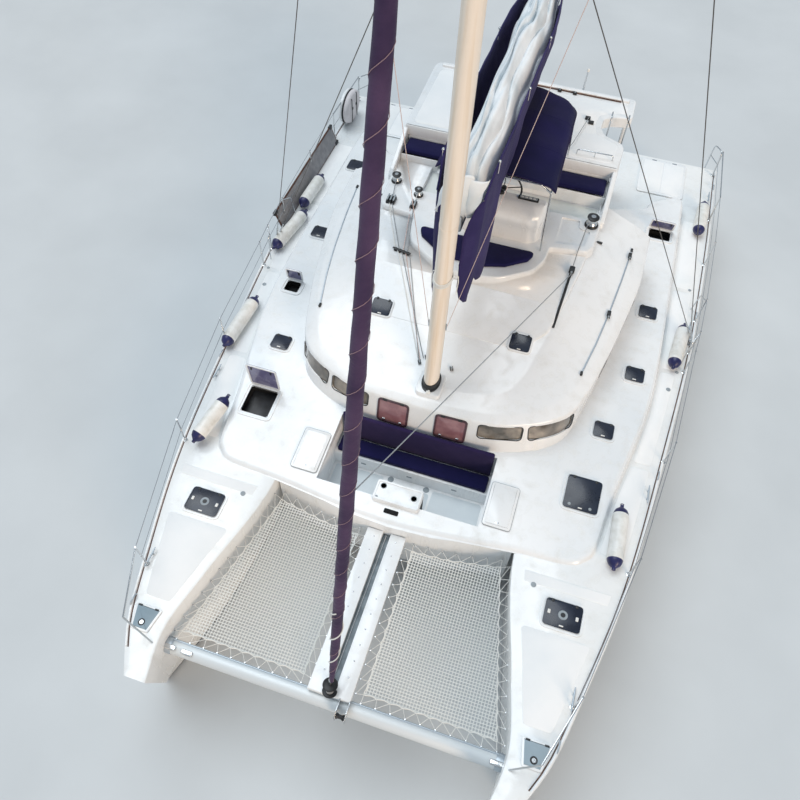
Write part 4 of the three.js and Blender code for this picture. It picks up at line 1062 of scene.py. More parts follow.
def nets():
    """The nets: crossed cords, a scalloped border rope, and lacing to hooks along the frame."""
    scallops = []
    for i, a in enumerate(NET_CORNERS):
        b = NET_CORNERS[(i + 1) % len(NET_CORNERS)]
        c, d = NET_FRAME[i], NET_FRAME[(i + 1) % len(NET_FRAME)]
        count = max(2, round((Vector(a) - Vector(b)).length / 0.19))
        for k in range(count):
            scallops.append((Vector(a).lerp(Vector(b), k / count),
                             Vector(c).lerp(Vector(d), (k + 0.5) / count)))
    middle = Vector((1.25, -5.7))
    edge = []
    for i, (spot, _) in enumerate(scallops):
        after = scallops[(i + 1) % len(scallops)][0]
        dip = (middle - spot).normalized() * 0.016
        edge += [spot, spot.lerp(after, 0.5) + dip]
    outline = [tuple(p) for p in edge]
    for side, sign in SIDES:
        cords = Form()
        for axis, low, high in ((0, 0.44, 2.31), (1, -6.86, -4.49)):
            count = int((high - low) / NET_PITCH)
            for k in range(count):
                at = low + (k + 0.5) * NET_PITCH
                span = inside_span(outline, axis, at)
                if not span:
                    continue
                runs = [span[0] + (span[1] - span[0]) * t for t in steps(22)]
                path = [(at, r) if axis == 0 else (r, at) for r in runs]
                cords.tube([(sign * x, y, net_height(x, y) + 0.002 * axis) for x, y in path], 0.0066, 4, 0,
                           0.75)
        cords.piece("net_mesh_" + side, ["net"], slot="net", smooth=60, stands_for=("trampoline_" + side,))
        ropes = Form()
        border = spline([(sign * p.x, p.y, net_height(p.x, p.y) + 0.004) for p in edge], 4, closed=True)
        ropes.tube(border + border[:2], 0.0085, 6)
        lacing = []
        for spot, hook in scallops:
            lacing += [(sign * spot.x, spot.y, NET_Z), (sign * hook.x, hook.y, NET_Z + 0.012)]
        for a, b in zip(lacing, lacing[1:] + lacing[:1]):
            ropes.tube([a, b], 0.0042, 5)
        ropes.piece("net_lacing_" + side, ["white_rope"], slot="net", smooth=60)
        hooks = Form()
        for _, hook in scallops:
            hooks.turned([(0.004, -0.012), (0.014, -0.01), (0.014, 0.016), (0.009, 0.022)],
                         (sign * hook.x, hook.y, NET_Z), sides=8)
        hooks.piece("net_hooks_" + side, ["steel"], slot="steel")


# Mast, boom and sails

STAY_FOOT = Vector((0, CROSSBEAM_Y + 0.06, 1.642))
STAY_HEAD = Vector((0, mast_y(20.4) - 0.215, 20.4))
# Furled sail's radius against the share of the stay's length
FURL = [(0.0205, 0.026), (0.026, 0.034), (0.04, 0.047), (0.08, 0.063), (0.12, 0.072), (0.25, 0.077),
        (0.38, 0.077), (0.46, 0.067), (0.7, 0.058), (0.85, 0.045), (0.93, 0.03), (0.96, 0.021)]


def stay_frame():
    way = (STAY_HEAD - STAY_FOOT).normalized()
    side = Vector((1, 0, 0))
    return way, side, way.cross(side)


def furl_middle(share):
    """The sail's weight bows its stay a little to port."""
    bow = 0.034 * (1 - math.exp(-share / 0.05)) * (1 - share)
    return STAY_FOOT.lerp(STAY_HEAD, share) + Vector((bow, 0, 0))


def furl_radius(share):
    for (s0, r0), (s1, r1) in zip(FURL, FURL[1:]):
        if share <= s1:
            f = (share - s0) / (s1 - s0)
            return r0 + (r1 - r0) * max(f, 0)
    return FURL[-1][1]


def furled_genoa():
    way, side, other = stay_frame()
    length = (STAY_HEAD - STAY_FOOT).length
    first, last = FURL[0][0], FURL[-1][0]
    wraps = 42.0
    rings, edge = [], []
    sides = 30
    count = 460
    for k in range(count):
        share = first + (last - first) * k / (count - 1)
        base = furl_radius(share)
        seam = wraps * (share - first) / (last - first)
        ring = []
        for i in range(sides):
            turn = i / sides
            behind = (turn - seam) % 1.0
            lump = 0.0022 * math.sin(9 * math.pi * share * 7 + 5 * turn)
            lump += 0.003 * math.sin(2 * math.pi * 2 * turn + 31 * share)
            size = base * (0.93 + 0.10 * behind) + lump * base / 0.09
            a = 2 * math.pi * turn
            ring.append(furl_middle(share) + (side * math.cos(a) + other * math.sin(a)) * size)
        rings.append(ring)
        a = 2 * math.pi * seam
        edge.append(furl_middle(share) + (side * math.cos(a) + other * math.sin(a)) * (base * 1.035 + 0.002))
    form = Form()
    form.loft(rings)
    form.piece("furled_sail", ["furled"], stands_for=("furled_genoa",), slot="navy_fabric", smooth=70)
    trim = Form()
    trim.tube(edge, 0.003, 5)
    trim.piece("furled_sail_leech", ["leech"], slot="navy_fabric", smooth=70)
    sheet = []
    for k in range(60):
        share = 0.035 + 0.075 * k / 59
        a = 2 * math.pi * (2.6 * k / 59 + 0.15)
        size = furl_radius(share) * 1.04 + 0.009
        sheet.append(furl_middle(share) + (side * math.cos(a) + other * math.sin(a)) * size)
    rope_form = Form()
    rope_form.tube(sheet, 0.008, 6)
    rope_form.piece("furled_sail_wraps", ["white_rope"], slot="navy_fabric", smooth=70)
    drum = Form()

    def turned(profile, low, ink, sides=24):
        drum.turned(profile, STAY_FOOT + way * low, way, sides, ink)

    turned([(0.02, 0), (0.1, 0), (0.105, 0.008), (0.105, 0.014), (0.1, 0.02), (0.055, 0.024)], 0.11, 1)
    turned([(0.055, 0.0), (0.055, 0.16)], 0.13, 2)
    turned([(0.055, 0), (0.1, 0.004), (0.105, 0.01), (0.105, 0.016), (0.1, 0.022), (0.03, 0.026)], 0.28, 1)
    turned([(0.028, 0), (0.028, 0.12), (0.022, 0.16)], 0.3, 0)
    turned([(0.012, 0), (0.012, 0.13)], -0.02, 0)
    turned([(0.022, 0), (0.022, 0.06)], 0.03, 0)
    turned([(0.019, 0.0), (0.019, length * (1 - last) - 0.02)], length * last, 1, 12)
    drum.piece("furling_drum", ["steel", "black", "grey_rope"], slot="black_plastic", smooth=50)


def mast_ring(z, size, count=36):
    return [(math.cos(t) * 0.118 * size, mast_y(z) + math.sin(t) * 0.182 * size, z)
            for t in turns(count)]


SPREADERS = [(10.6, 1.45, 0.42), (15.4, 1.15, 0.33)]
MAST_BAND = 6.02
LASHING = 5.1
HALYARD_FOOT = 4.2


def spar():
    form = Form()
    form.loft([mast_ring(z, s) for z, s in ((2.9003, 1), (6, 1), (10, 1), (14, 1), (18, 1), (22, 0.79),
                                            (25.2, 0.62))])
    for z in (10.3, 20.4):
        form.loft([mast_ring(z + d, 1.02) for d in (-0.12, 0.12)], 1)
    groove = [(x, mast_y(z) + 0.178 * (1 if z < 18 else 0.8), z) for x, z in ((0, 3.9), (0, 17.5))]
    form.tube(groove, 0.014, 6, 1)
    for z, half, sweep in SPREADERS:
        for sign in (1, -1):
            root, tip = Vector((0, mast_y(z), z)), Vector((sign * half, mast_y(z) + sweep, z + 0.06))
            form.tube([root.lerp(tip, t) for t in (0.04, 0.3, 0.7, 1.0)], [0.055, 0.052, 0.042, 0.03], 12, 0,
                      0.42)
            form.turned([(0.012, -0.04), (0.03, -0.03), (0.034, 0), (0.03, 0.03), (0.012, 0.04)], tip,
                        (0, 0, 1), 12, 1)
    form.loft([mast_ring(z, s) for z, s in ((2.903, 1.26), (2.925, 1.26), (2.935, 1.12), (3.02, 1.07))], 3)
    form.loft([mast_ring(MAST_BAND + d, 1.02) for d in (-0.02, 0.02)], 0)
    for k in range(4):
        band = mast_ring(LASHING + 0.018 * k, 1.05, 32)
        form.tube(band + band[:2], 0.009, 6, 2)
    for x, y, way in ((-0.12, 0.10, -1), (0.13, 0.10, 1)):
        at = mast_y(LASHING) + y
        form.tube([(x, at, LASHING), (x + way * 0.05, at + 0.02, LASHING - 0.02),
                   (x + way * 0.06, at + 0.02, LASHING - 0.12),
                   (x + way * 0.05, at + 0.01, LASHING - 0.34)], 0.007, 6, 2)
    # Cleats of the flag halyards
    for sign in (1, -1):
        form.tube([(sign * 0.128, mast_y(HALYARD_FOOT), HALYARD_FOOT + d)
                   for d in (-0.07, -0.03, 0.03, 0.07)],
                  [0.006, 0.011, 0.011, 0.006], 8, 1)
    form.turned([(0.032, 0), (0.034, 0.012), (0.02, 0.02), (0.018, 0.035)], (0.02, -2.615, 2.9), ink=4,
                sides=16)
    form.slab(box_outline(-0.02, -2.66, 0.03, -2.59, 0.012), 2.9, 2.93, 0.008, 4)
    form.piece("mast_tube", ["spar", "alloy", "white_rope", "black", "vinyl"], stands_for=("mast",),
               slot="mast_paint", smooth=50)
    cheeks = Form()
    for z in (5.54, 5.696):
        cheek = rounded([(-0.05, -2.14), (0.05, -2.14), (0.045, -1.955), (-0.045, -1.955)], 0.03)
        cheeks.plate(cheek, z - 0.006, z + 0.006)
    cheeks.box((-0.055, -2.16, 5.5), (0.055, -2.125, 5.74))
    cheeks.turned([(0.014, -0.1), (0.014, 0.1)], (0, -1.99, 5.618))
    cheeks.piece("gooseneck", ["steel"], slot="steel", bevel=0.002)


def standing_rigging():
    """Shrouds with their turnbuckles: one over the spreaders' tips and one lower down on each side."""
    for side, sign in SIDES:
        wires = Form()
        plate = (4.08 * sign, 0.64)
        tips = [(sign * (half + 0.045), mast_y(z) + sweep, z + 0.06) for z, half, sweep in SPREADERS]
        runs = [[(plate[0], plate[1], 2.0), *tips, (sign * 0.15, mast_y(20.4) + 0.08, 20.4)],
                [(plate[0], plate[1] + 0.1, 2.0), (sign * 0.14, mast_y(10.3) + 0.06, 10.3)]]
        for run in runs:
            for a, b in zip(run, run[1:]):
                wires.tube([a, b], 0.0065, 8, 0)
            start, way = Vector(run[0]), (Vector(run[1]) - Vector(run[0])).normalized()
            wires.turned([(0.006, 0), (0.012, 0.02), (0.012, 0.1)], start - way * 0.02, way, 12, 1)
            wires.turned([(0.01, 0), (0.019, 0.02), (0.019, 0.3), (0.01, 0.32)], start + way * 0.1, way, 12,
                         1)
            wires.turned([(0.013, 0), (0.013, 0.14), (0.007, 0.16)], start + way * 0.43, way, 12, 1)
        x = plate[0]
        wires.box((x - 0.012, 0.59, 1.95), (x + 0.012, 0.79, 2.03), 1)
        wires.box((x - 0.05, 0.57, 1.9503), (x + 0.05, 0.81, 1.962), 1)
        wires.piece("shroud_wires_" + side, ["wire", "steel"], stands_for=("shrouds_" + side,), slot="steel",
                    smooth=50)


# Cloth

def sheet_mesh(name, rows, look, body, thick, slot, stands_for=()):
    """A sheet of cloth from rows of points, given a thickness. Returns the piece and its flat size."""
    wide = len(rows[0])
    corners = [r * wide + i for r in range(len(rows) - 1) for i in range(wide - 1)]
    form = Form()
    form.add([p for row in rows for p in row], [(a, a + 1, a + wide + 1, a + wide) for a in corners])
    made = form.piece(name, [look], body, smooth=80, slot=slot, stands_for=stands_for)
    solid = made.modifiers.new("thickness", "SOLIDIFY")
    solid.thickness = thick
    solid.offset = 0
    apply_modifiers(made)
    spans = [sum((Vector(a) - Vector(b)).length for a, b in zip(row, row[1:])) for row in rows]
    columns = [[row[i] for row in rows] for i in range(0, wide, 4)]
    drops = [sum((Vector(a) - Vector(b)).length for a, b in zip(col, col[1:])) for col in columns]
    return made, (sum(drops) / len(drops), sum(spans) / len(spans))


def ripple(x, y, z, size):
    """Soft creases, the same on each run."""
    return size * (math.sin(5.1 * y + 2.3 * z) * 0.5 + math.sin(11.3 * y - 7.1 * z + 1.7 * x) * 0.3
                   + math.sin(23 * z + 4.7 * y) * 0.2)


def along(table, y):
    """A value read from a table of (y, value) pairs, eased between them."""
    if y <= table[0][0]:
        return table[0][1]
    for (a, p), (b, q) in zip(table, table[1:]):
        if y <= b:
            t = (y - a) / (b - a)
            return p + (q - p) * t * t * (3 - 2 * t)
    return table[-1][1]


BAG_HALF = [(-1.95, 0.13), (-1.72, 0.31), (-1.3, 0.36), (-0.4, 0.38), (2.3, 0.39), (4.15, 0.27)]
BAG_TOP = [(-1.95, 5.55), (-1.8, 6.0), (-1.4, 6.28), (-0.4, 6.3), (2.3, 6.2), (4.15, 6.1)]
BAG_FOOT = [(-1.95, 4.62), (-1.90, 4.34), (-1.78, 4.16), (-1.64, 4.14), (-1.52, 4.26), (-1.46, 4.40),
            (-1.40, 4.28),
            (-1.28, 4.22), (-1.14, 4.32), (-1.0, 4.62), (-0.5, 5.0), (0.3, 5.36), (0.9, 5.49), (4.15, 5.54)]
BAG_TUCK = [(-1.2, 0.3), (0.3, 0.25), (0.9, 0.13), (4.15, 0.11)]


def sail_bag():
    """Canvas bag along the boom, open above, its ahead end hanging slack beside the mast."""
    for side, sign in SIDES:
        rows = []
        for v in steps(19):
            row = []
            for u in steps(90):
                y = -1.95 + 6.1 * u
                half, top, foot = along(BAG_HALF, y), along(BAG_TOP, y), along(BAG_FOOT, y)
                tuck = min(along(BAG_TUCK, y), half)
                slackness = 1 - min(max((y + 0.6) / 1.4, 0), 1)
                belly = 1 - (1 - v) ** 3
                x = tuck + (half - tuck) * belly
                x += 0.03 * math.sin(math.pi * v) * (1 - slackness)
                x += 0.05 * slackness * math.sin(6.2 * y + 2.5 * (1 - v)) * (1 - v) * min(1, (y + 1.95) * 4)
                x += ripple(sign, y, v * 2, 0.010)
                z = foot + (top - foot) * v
                row.append((sign * max(x, 0.02), y, z))
            rows.append(row)
        made, flat = sheet_mesh("sail_bag_" + side, rows, "bag", "boom", 0.004, "navy_fabric",
                                ("sail_bag",) if sign > 0 else ())
        trim = Form()
        top = [rows[-1][i] for i in range(3, 90, 2)]
        trim.tube([(x, y, z + 0.004) for x, y, z in top], 0.014, 8, 0)
        for y in (-1.35, 0.35, 1.9, 3.4):
            half, z = along(BAG_HALF, y), along(BAG_TOP, y)
            trim.tube([(sign * (half + 0.012), y, z - 0.12), (sign * (half + 0.014), y, z + 0.05)], 0.012, 6,
                      1, 0.35)
            trim.turned([(0.004, -0.02), (0.018, -0.012), (0.018, 0.012), (0.004, 0.02)],
                        (sign * (half + 0.01), y, z + 0.06), (0, 1, 0), 12, 2)
        trim.piece("sail_bag_edge_" + side, ["bag", "white_rope", "steel"], "boom", slot="navy_fabric",
                   smooth=60)


# Share of the bag's half width that the sail fills to starboard
STARBOARD_TUCK = [(-1.78, 0.75), (-0.9, 0.5), (1.2, 0.55), (3.4, 0.92)]


def stowed_mainsail():
    """The lowered mainsail, flaked in folds between the bag's sides."""
    rows = []
    for u in steps(150):
        y = -1.78 + 5.86 * u
        half = along(BAG_HALF, y) - 0.045
        top = along([(-1.78, 6.05), (-1.5, 6.42), (-0.6, 6.5), (1.5, 6.42), (3.4, 6.3), (4.1, 6.15)], y)
        row = []
        for v in steps(64):
            a = 2 * v - 1
            wander = 0.25 * math.sin(1.9 * y) + 0.12 * math.sin(4.3 * y + 1)
            fold = abs(math.sin(math.pi * (2.1 * a + wander)))
            fold2 = abs(math.sin(math.pi * (3.3 * a - 0.6 * wander + 0.3)))
            lobe = 0.13 * fold ** 0.8 + 0.03 * fold2
            drop = 0.30 * abs(a) ** 2.6 + 0.12 * (1 - math.cos(a * 1.2))
            reach = half if a > 0 else half * along(STARBOARD_TUCK, y)
            x = a * reach + 0.02 * math.sin(3.7 * y + 5 * a) * (1 - a * a)
            z = top - 0.07 - drop + lobe * (1 - 0.4 * abs(a)) + ripple(a, y * 0.5, a, 0.010)
            row.append((x, y, z))
        rows.append(row)
    made, flat = sheet_mesh("flaked_mainsail", rows, "sail", "boom", 0.006, "sailcloth", ("stowed_mainsail",))
    # Ahead end of the flakes: folds hanging from the mast down to the boom
    for name, x0, lean, low in (("inner", -0.2, 0.10, 5.72), ("middle", -0.02, 0.16, 5.62),
                                ("outer", 0.14, 0.12, 5.75)):
        rows = []
        for v in steps(26):
            row = []
            for u in steps(20):
                turn = math.pi * (u - 0.5)
                wide = 0.085 + 0.03 * math.sin(3 * v + x0 * 9)
                y = -1.80 - 0.10 * math.cos(turn) * math.sin(math.pi * min(v * 1.1, 1)) + 0.04 * u
                x = x0 + lean * (1 - v) * 0.6 + wide * math.sin(turn)
                x += 0.014 * math.sin(9 * v + 4 * u + x0 * 30)
                z = 6.34 - (6.34 - low) * v + 0.03 * math.sin(4 * u + x0 * 20)
                row.append((x, y, z))
            rows.append(row)
        made, flat = sheet_mesh("mainsail_fold_" + name, rows, "sail", "boom", 0.005, "sailcloth")


def boom():
    form = Form()
    rings = []
    for y in (-1.84, -1.83, 1.0, 4.38, 4.4):
        shrink = 0.85 if y in (-1.84, 4.4) else 1.0
        outline = rounded([(-0.075, -0.125), (0.075, -0.125), (0.062, 0.125), (-0.062, 0.125)], 0.05, 5)
        rings.append([(x * shrink, y, boom_z(y) + z * shrink) for x, z in outline])
    form.loft(rings)
    form.box((-0.03, -2.03, 5.56), (0.03, -1.82, 5.68), 1)
    for y in (0.5, 1.3, 2.4, 3.6):
        form.turned([(0.01, -0.02), (0.022, -0.015), (0.022, 0.015), (0.01, 0.02)], (0, y, boom_z(y) - 0.15),
                    (1, 0, 0), 12, 1)
    form.piece("dressed_boom", ["alloy", "steel"], "boom", slot="alloy", stands_for=("boom",), smooth=50)


def bimini():
    """Canopy over the helm: one curved sheet with a hem, rounded at its aft corners."""
    low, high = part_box("bimini")
    middle, half = (low.x + high.x) / 2, (high.x - low.x) / 2
    rows = []
    for v in steps(47):
        y = low.y + 0.01 + (high.y - low.y - 0.02) * v
        gap = high.y - 0.01 - y
        corner = 0.36
        pull = corner - math.sqrt(max(corner ** 2 - max(corner - gap, 0) ** 2, 0)) if gap < corner else 0
        wide = half * (1 - 0.055 * v) - 0.01 - pull
        row = []
        for u in steps(43):
            a = 2 * u - 1
            crown = 0.1 * (1 - abs(a) ** 2.4)
            scoop = 0.018 * math.sin(math.pi * 3 * v) ** 2
            z = 5.30 + crown - scoop - 0.05 * (2 * v - 0.9) ** 2 + ripple(a, y, 0, 0.004)
            z -= 0.05 * max(abs(a) - 0.9, 0) * 10
            row.append((middle + a * wide, y, z))
        rows.append(row)
    made, flat = sheet_mesh("bimini_canopy", rows, "navy", "boat", 0.004, "navy_fabric", ("bimini",))
    seams = Form()
    for a in (0.33, 0.66):
        i = int(a * 42)
        seams.tube([(row[i][0], row[i][1], row[i][2] + 0.002) for row in rows], 0.006, 6, 0, 0.4)
    for r in (15, 31):
        seams.tube([(x, y, z + 0.002) for x, y, z in rows[r]], 0.008, 6, 0, 0.4)
    edge = rows[0] + [row[-1] for row in rows[1:]] + rows[-1][-2::-1] + [row[0] for row in rows[-2::-1]]
    seams.tube(edge, 0.009, 6, 1)
    seams.piece("bimini_seams", ["navy", "purple"], "boat", slot="navy_fabric", smooth=70)


# How far a cushion's cloth may swell
SWELL = 0.012


def cushion(name, node, look, plan=None):
    """A padded seat: a boxed cover over a CAD cushion's box, swollen by a short cloth simulation."""
    low, high = (Vector(corner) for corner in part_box(node))
    form = Form()
    inset = 0.010
    outline = plan or box_outline(low.x + inset, low.y + inset, high.x - inset, high.y - inset, 0.035)
    thick = high.z - low.z
    rings = []
    for lift, pull in ((0.0, 0.012), (0.010, 0.0), (thick * 0.5, -0.002), (thick - 0.022, 0.0),
                       (thick - 0.010, 0.012)):
        rings.append([shrink(outline, x, y, pull) + (low.z + lift,) for x, y in outline])
    form.loft(rings)
    made = form.piece(name, [look], "boat", smooth=80, slot="navy_fabric", stands_for=(node,))
    remesh = made.modifiers.new("remesh", "REMESH")
    remesh.mode = "VOXEL"
    remesh.voxel_size = 0.014
    apply_modifiers(made)
    swollen(made, low, high)
    for face in made.data.polygons:
        face.use_smooth = True
    smooth = made.modifiers.new("smooth", "SMOOTH")
    smooth.factor = 0.5
    smooth.iterations = 4
    apply_modifiers(made)


def shrink(outline, x, y, pull):
    """A point of an outline moved towards the outline's middle."""
    cx = sum(p[0] for p in outline) / len(outline)
    cy = sum(p[1] for p in outline) / len(outline)
    dx, dy = x - cx, y - cy
    size = math.hypot(dx, dy)
    return (x - dx / size * pull, y - dy / size * pull)


def swollen(made, low, high):
    """Inflates a cover a little, and keeps every point near where it was and over what it lies on."""
    start = [v.co.copy() for v in made.data.vertices]
    cloth = made.modifiers.new("cloth", "CLOTH")
    settings = cloth.settings
    settings.use_pressure = True
    settings.uniform_pressure_force = 4
    settings.tension_stiffness = 20
    settings.bending_stiffness = 2
    settings.effector_weights.gravity = 0
    cloth.point_cache.frame_end = 20
    scene = bpy.context.scene
    for step in range(1, 21):
        scene.frame_set(step)
    apply_modifiers(made)
    scene.frame_set(1)
    for vert, old in zip(made.data.vertices, start):
        move = vert.co - old
        if move.length > SWELL:
            vert.co = old + move.normalized() * SWELL
        vert.co.z = min(max(vert.co.z, low.z + 0.001), high.z + 0.02)


# Flybridge

FLY_SOLE = 3.45
SEAT_TOP = 3.70
SEAT_EDGE = 1.86
SHELF_OUTLINE = [(0, -0.64), (0.56, -0.52), (1.05, -0.17), (1.19, 0.15), (1.21, 0.47), (1.82, 0.56),
                 (1.91, 0.72), (1.94, 1.45), (1.94, 2.04)]
SHELF_SOFT = [0.8, 0.7, 0.35, 0.3, 0.07, 0.12, 0.1, 0.5, 0.02]
WELL_OUTLINE = [(-1.28, 1.14), (-0.5, 1.14), (-0.5, 0.76), (0.95, 0.76), (0.95, 1.37), (1.86, 1.37),
                (1.86, 1.86), (-1.28, 1.86)]
# The aft deck's outline from the port side's front end round to starboard, each corner with its radius
AFT_OUTLINE = [(1.965, 2.3, 0.02), (2.0, 2.95, 0.2), (1.95, 3.08, 0.12), (1.60, 3.25, 0.2),
               (1.51, 3.45, 0.14),
               (1.52, 3.72, 0.1), (1.70, 3.84, 0.1), (2.03, 3.92, 0.09), (2.03, 4.59, 0.12),
               (-2.01, 4.59, 0.24), (-1.965, 2.3, 0.02)]


def mirrored_outline(half, radius):
    """A closed, rounded outline from its right half, listed from the front middle aft."""
    full = half + [(-x, y) for x, y in reversed(half) if x]
    soft = radius + [r for (x, _), r in zip(reversed(half), reversed(radius)) if x]
    return rounded(full, soft)


def apron(form):
    """The roof's raised middle, which ramps up to the shelf."""
    halves = [1.22, 1.30, 1.43, 1.56, 1.64, 1.70, 1.73, 1.80, 1.87, 1.92, 1.93]
    places = [-1.5, -1.42, -1.25, -1.08, -0.72, -0.45, -0.25, 0.2, 0.85, 1.5, 2.04]
    rings = []
    for k in steps(61):
        t = k * (len(places) - 1)
        y, half = hermite(places, t), hermite(halves, t)
        ramp = 3.47 + 0.3435 * (y + 0.45)
        z = 3.47 - 0.02 * math.log(1 + math.exp((3.47 - ramp) / 0.02))
        side = [(half, z - 0.10), (half, z - 0.045), (half - 0.008, z - 0.022), (half - 0.026, z - 0.006),
                (half - 0.06, z)]
        rings.append([(x, y, w) for x, w in side + [(-x, w) for x, w in reversed(side)]])
    form.loft(rings)


def fly_moulding():
    """Shelf and seats in one moulding, with the helm's well cut into it."""
    form = Form()
    apron(form)
    shelf = mirrored_outline(SHELF_OUTLINE, SHELF_SOFT)
    form.loft([[(x, y, z) for x, y in grown(shelf, out)] for z, out in (
        (3.36, 0.02), (3.525, 0.0), (3.545, -0.01), (SHELF_Z - 0.003, -0.024), (SHELF_Z, -0.045))])
    form.slab(box_outline(-1.90, 1.86, 1.90, 2.40, 0.02), 3.3, SEAT_TOP, 0.02)
    form.slab(box_outline(-1.88, 2.30, 1.88, 2.42, 0.01), 3.3, AFT_DECK_Z - 0.2, 0.01)
    made = form.piece("flybridge_moulding", ["white"], stands_for=("flybridge",), slot="gelcoat", smooth=32)
    cutter = Form()
    cutter.plate(rounded(WELL_OUTLINE, 0.05), FLY_SOLE, 4.2)
    cutter.plate(rounded([(1.26, 0.60), (1.76, 0.68), (1.80, 1.06), (1.60, 1.12), (1.58, 1.30), (1.26, 1.30)],
                         0.04),
                 SHELF_Z - 0.03, SHELF_Z + 0.1)
    cutter.slab(box_outline(-1.16, 3.55, -0.78, 3.65, 0.03), -0.14, 0.1, 0.01,
                place=lambda u, v, w: (u, SEAT_EDGE + w, v))
    carve(made, cutter)


def fly_aft_deck():
    """The aft deck with its coamings, struts and the beam across its end."""
    top = Form()
    aft = rounded([(x, y) for x, y, _ in AFT_OUTLINE], [r for _, _, r in AFT_OUTLINE], 8)
    top.slab(aft, AFT_DECK_Z - 0.21, AFT_DECK_Z, 0.03)
    for _, sign in SIDES:
        rise = rounded([(1.38, 3.40), (1.38, 3.54), (1.48, 3.62), (1.86, 3.77), (2.30, 3.96), (3.05, 3.985),
                        (3.05, 3.72), (2.38, 3.40)], 0.05)
        top.slab(rise, 1.905, 1.992, 0.025, place=lambda u, v, w, sign=sign: (sign * w, u, v))
        strut = [(sign * x, y) for x, y in box_outline(1.915, 4.30, 2.005, 4.52, 0.04)]
        top.slab(strut, SHEER, AFT_DECK_Z - 0.19, 0.01)
    top.slab(box_outline(-1.86, 4.40, 1.90, 4.50, 0.03), AFT_DECK_Z - 0.02, AFT_DECK_Z + 0.038, 0.012)
    top.piece("fly_aft_deck", ["white"], slot="gelcoat", smooth=40)


def fly_treads():
    flat = Form()
    flat.slab(rounded(grown(rounded(WELL_OUTLINE, 0.05), -0.035), 0.01, 1), FLY_SOLE - 0.002,
              FLY_SOLE + 0.004, 0.003, 0)
    aft_tread = rounded([(1.86, 2.42), (1.88, 3.0), (1.45, 3.2), (1.38, 3.5), (1.42, 3.82), (1.62, 3.96),
                         (1.9, 4.02), (1.9, 4.30), (-1.84, 4.30), (-1.84, 2.42)], 0.12)
    flat.slab(aft_tread, AFT_DECK_Z - 0.002, AFT_DECK_Z + 0.002, 0.002, 1)
    flat.piece("fly_treads", ["sand", "tread"], slot="non_skid", smooth=60)


# Each level of the helm's hood: height, front edge, aft edge, and how far its corners move inward
HOOD_LEVELS = [
    (3.55, 0.42, 0.72, 0), (3.80, 0.40, 0.72, 0), (3.93, 0.36, 0.72, 0), (4.02, 0.31, 0.72, 0),
    (4.09, 0.295, 0.72, 0), (4.15, 0.31, 0.72, 0), (4.21, 0.36, 0.71, 0.01),
    (4.26, 0.44, 0.70, 0.02), (4.288, 0.50, 0.695, 0.035), (4.298, 0.54, 0.69, 0.05),
]


def helm_console():
    """The hood ahead of the wheel with its sloping dash."""
    form = Form()
    rings = []
    for z, front, back, pull in HOOD_LEVELS:
        outline = [(-0.48 + pull, front + 0.14), (-0.34, front), (0.80, front), (0.94, front + 0.07),
                   (1.0 - pull, front + 0.22 if front < 0.45 else back - 0.12), (1.0 - pull, back),
                   (-0.48 + pull, back)]
        rings.append([(x, y, z) for x, y in rounded(outline, [0.08, 0.2, 0.2, 0.12, 0.12, 0.03, 0.03])])
    form.loft(rings)
    made = form.piece("helm_hood", ["white"], slot="gelcoat", smooth=40)
    cutter = Form()
    cutter.slab(box_outline(-0.36, 3.84, 0.88, 4.22, 0.05), 0.665, 0.9, 0.01,
                place=lambda u, v, w: (u, w, v))
    carve(made, cutter, 34)
    dash = Form()
    lean = Matrix.Translation((0.0, 0.66, 4.03)) @ Matrix.Rotation(math.radians(-18), 4, "X")

    def on_dash(u, v, w):
        return lean @ Vector((u, -w, v))

    dash.slab(box_outline(-0.34, -0.17, 0.86, 0.17, 0.04), -0.02, 0.012, 0.006, 0, place=on_dash)
    dash.slab(box_outline(0.42, -0.10, 0.74, 0.12, 0.02), -0.03, 0.03, 0.008, 1, place=on_dash)
    dash.slab(box_outline(0.45, -0.075, 0.71, 0.095, 0.01), -0.031, 0.033, 0.002, 2, place=on_dash)
    for u in (-0.24, -0.10, 0.04):
        for v in (-0.07, 0.07):
            dash.button(u, v, ((0.05, 0.012), (0.046, 0.03)), 20, 1, on_dash)
    dash.piece("helm_dash", ["grey", "black", "acrylic"], slot="black_plastic", smooth=40)
    # Instrument pod with its screen on top of the hood
    pod = Form()
    pod.slab(box_outline(0.50, 0.585, 0.84, 0.675, 0.02), 4.295, 4.325, 0.008, 0)
    pod.slab(box_outline(0.525, 0.600, 0.815, 0.660, 0.01), 4.32, 4.329, 0.003, 1)
    for i in range(4):
        pod.slab(box_outline(0.545 + i * 0.066, 0.612, 0.59 + i * 0.066, 0.648, 0.004), 4.326, 4.331, 0.001,
                 2)
    pod.turned([(0.05, 0), (0.052, 0.015), (0.045, 0.045), (0.02, 0.062), (0.002, 0.066)],
               (0.21, 0.64, 4.296), ink=0)
    pod.piece("helm_display", ["black", "grey", "vinyl"], slot="black_plastic", smooth=40)
    # Throttle levers to the port side of the console
    lever = Form()
    lever.slab(box_outline(0.90, 0.755, 0.99, 0.90, 0.02), SHELF_Z, SHELF_Z + 0.11, 0.015, 0)
    for x in (0.925, 0.965):
        lever.tube([(x, 0.83, 3.66), (x, 0.81, 3.74), (x, 0.78, 3.80)], 0.008, 8, 1)
        lever.turned([(0.003, -0.022), (0.014, -0.018), (0.018, 0.0), (0.014, 0.018), (0.003, 0.022)],
                     (x, 0.775, 3.805), (1, 0, 0), 12, 0)
    lever.piece("throttle_levers", ["black", "steel"], slot="black_plastic", smooth=50)


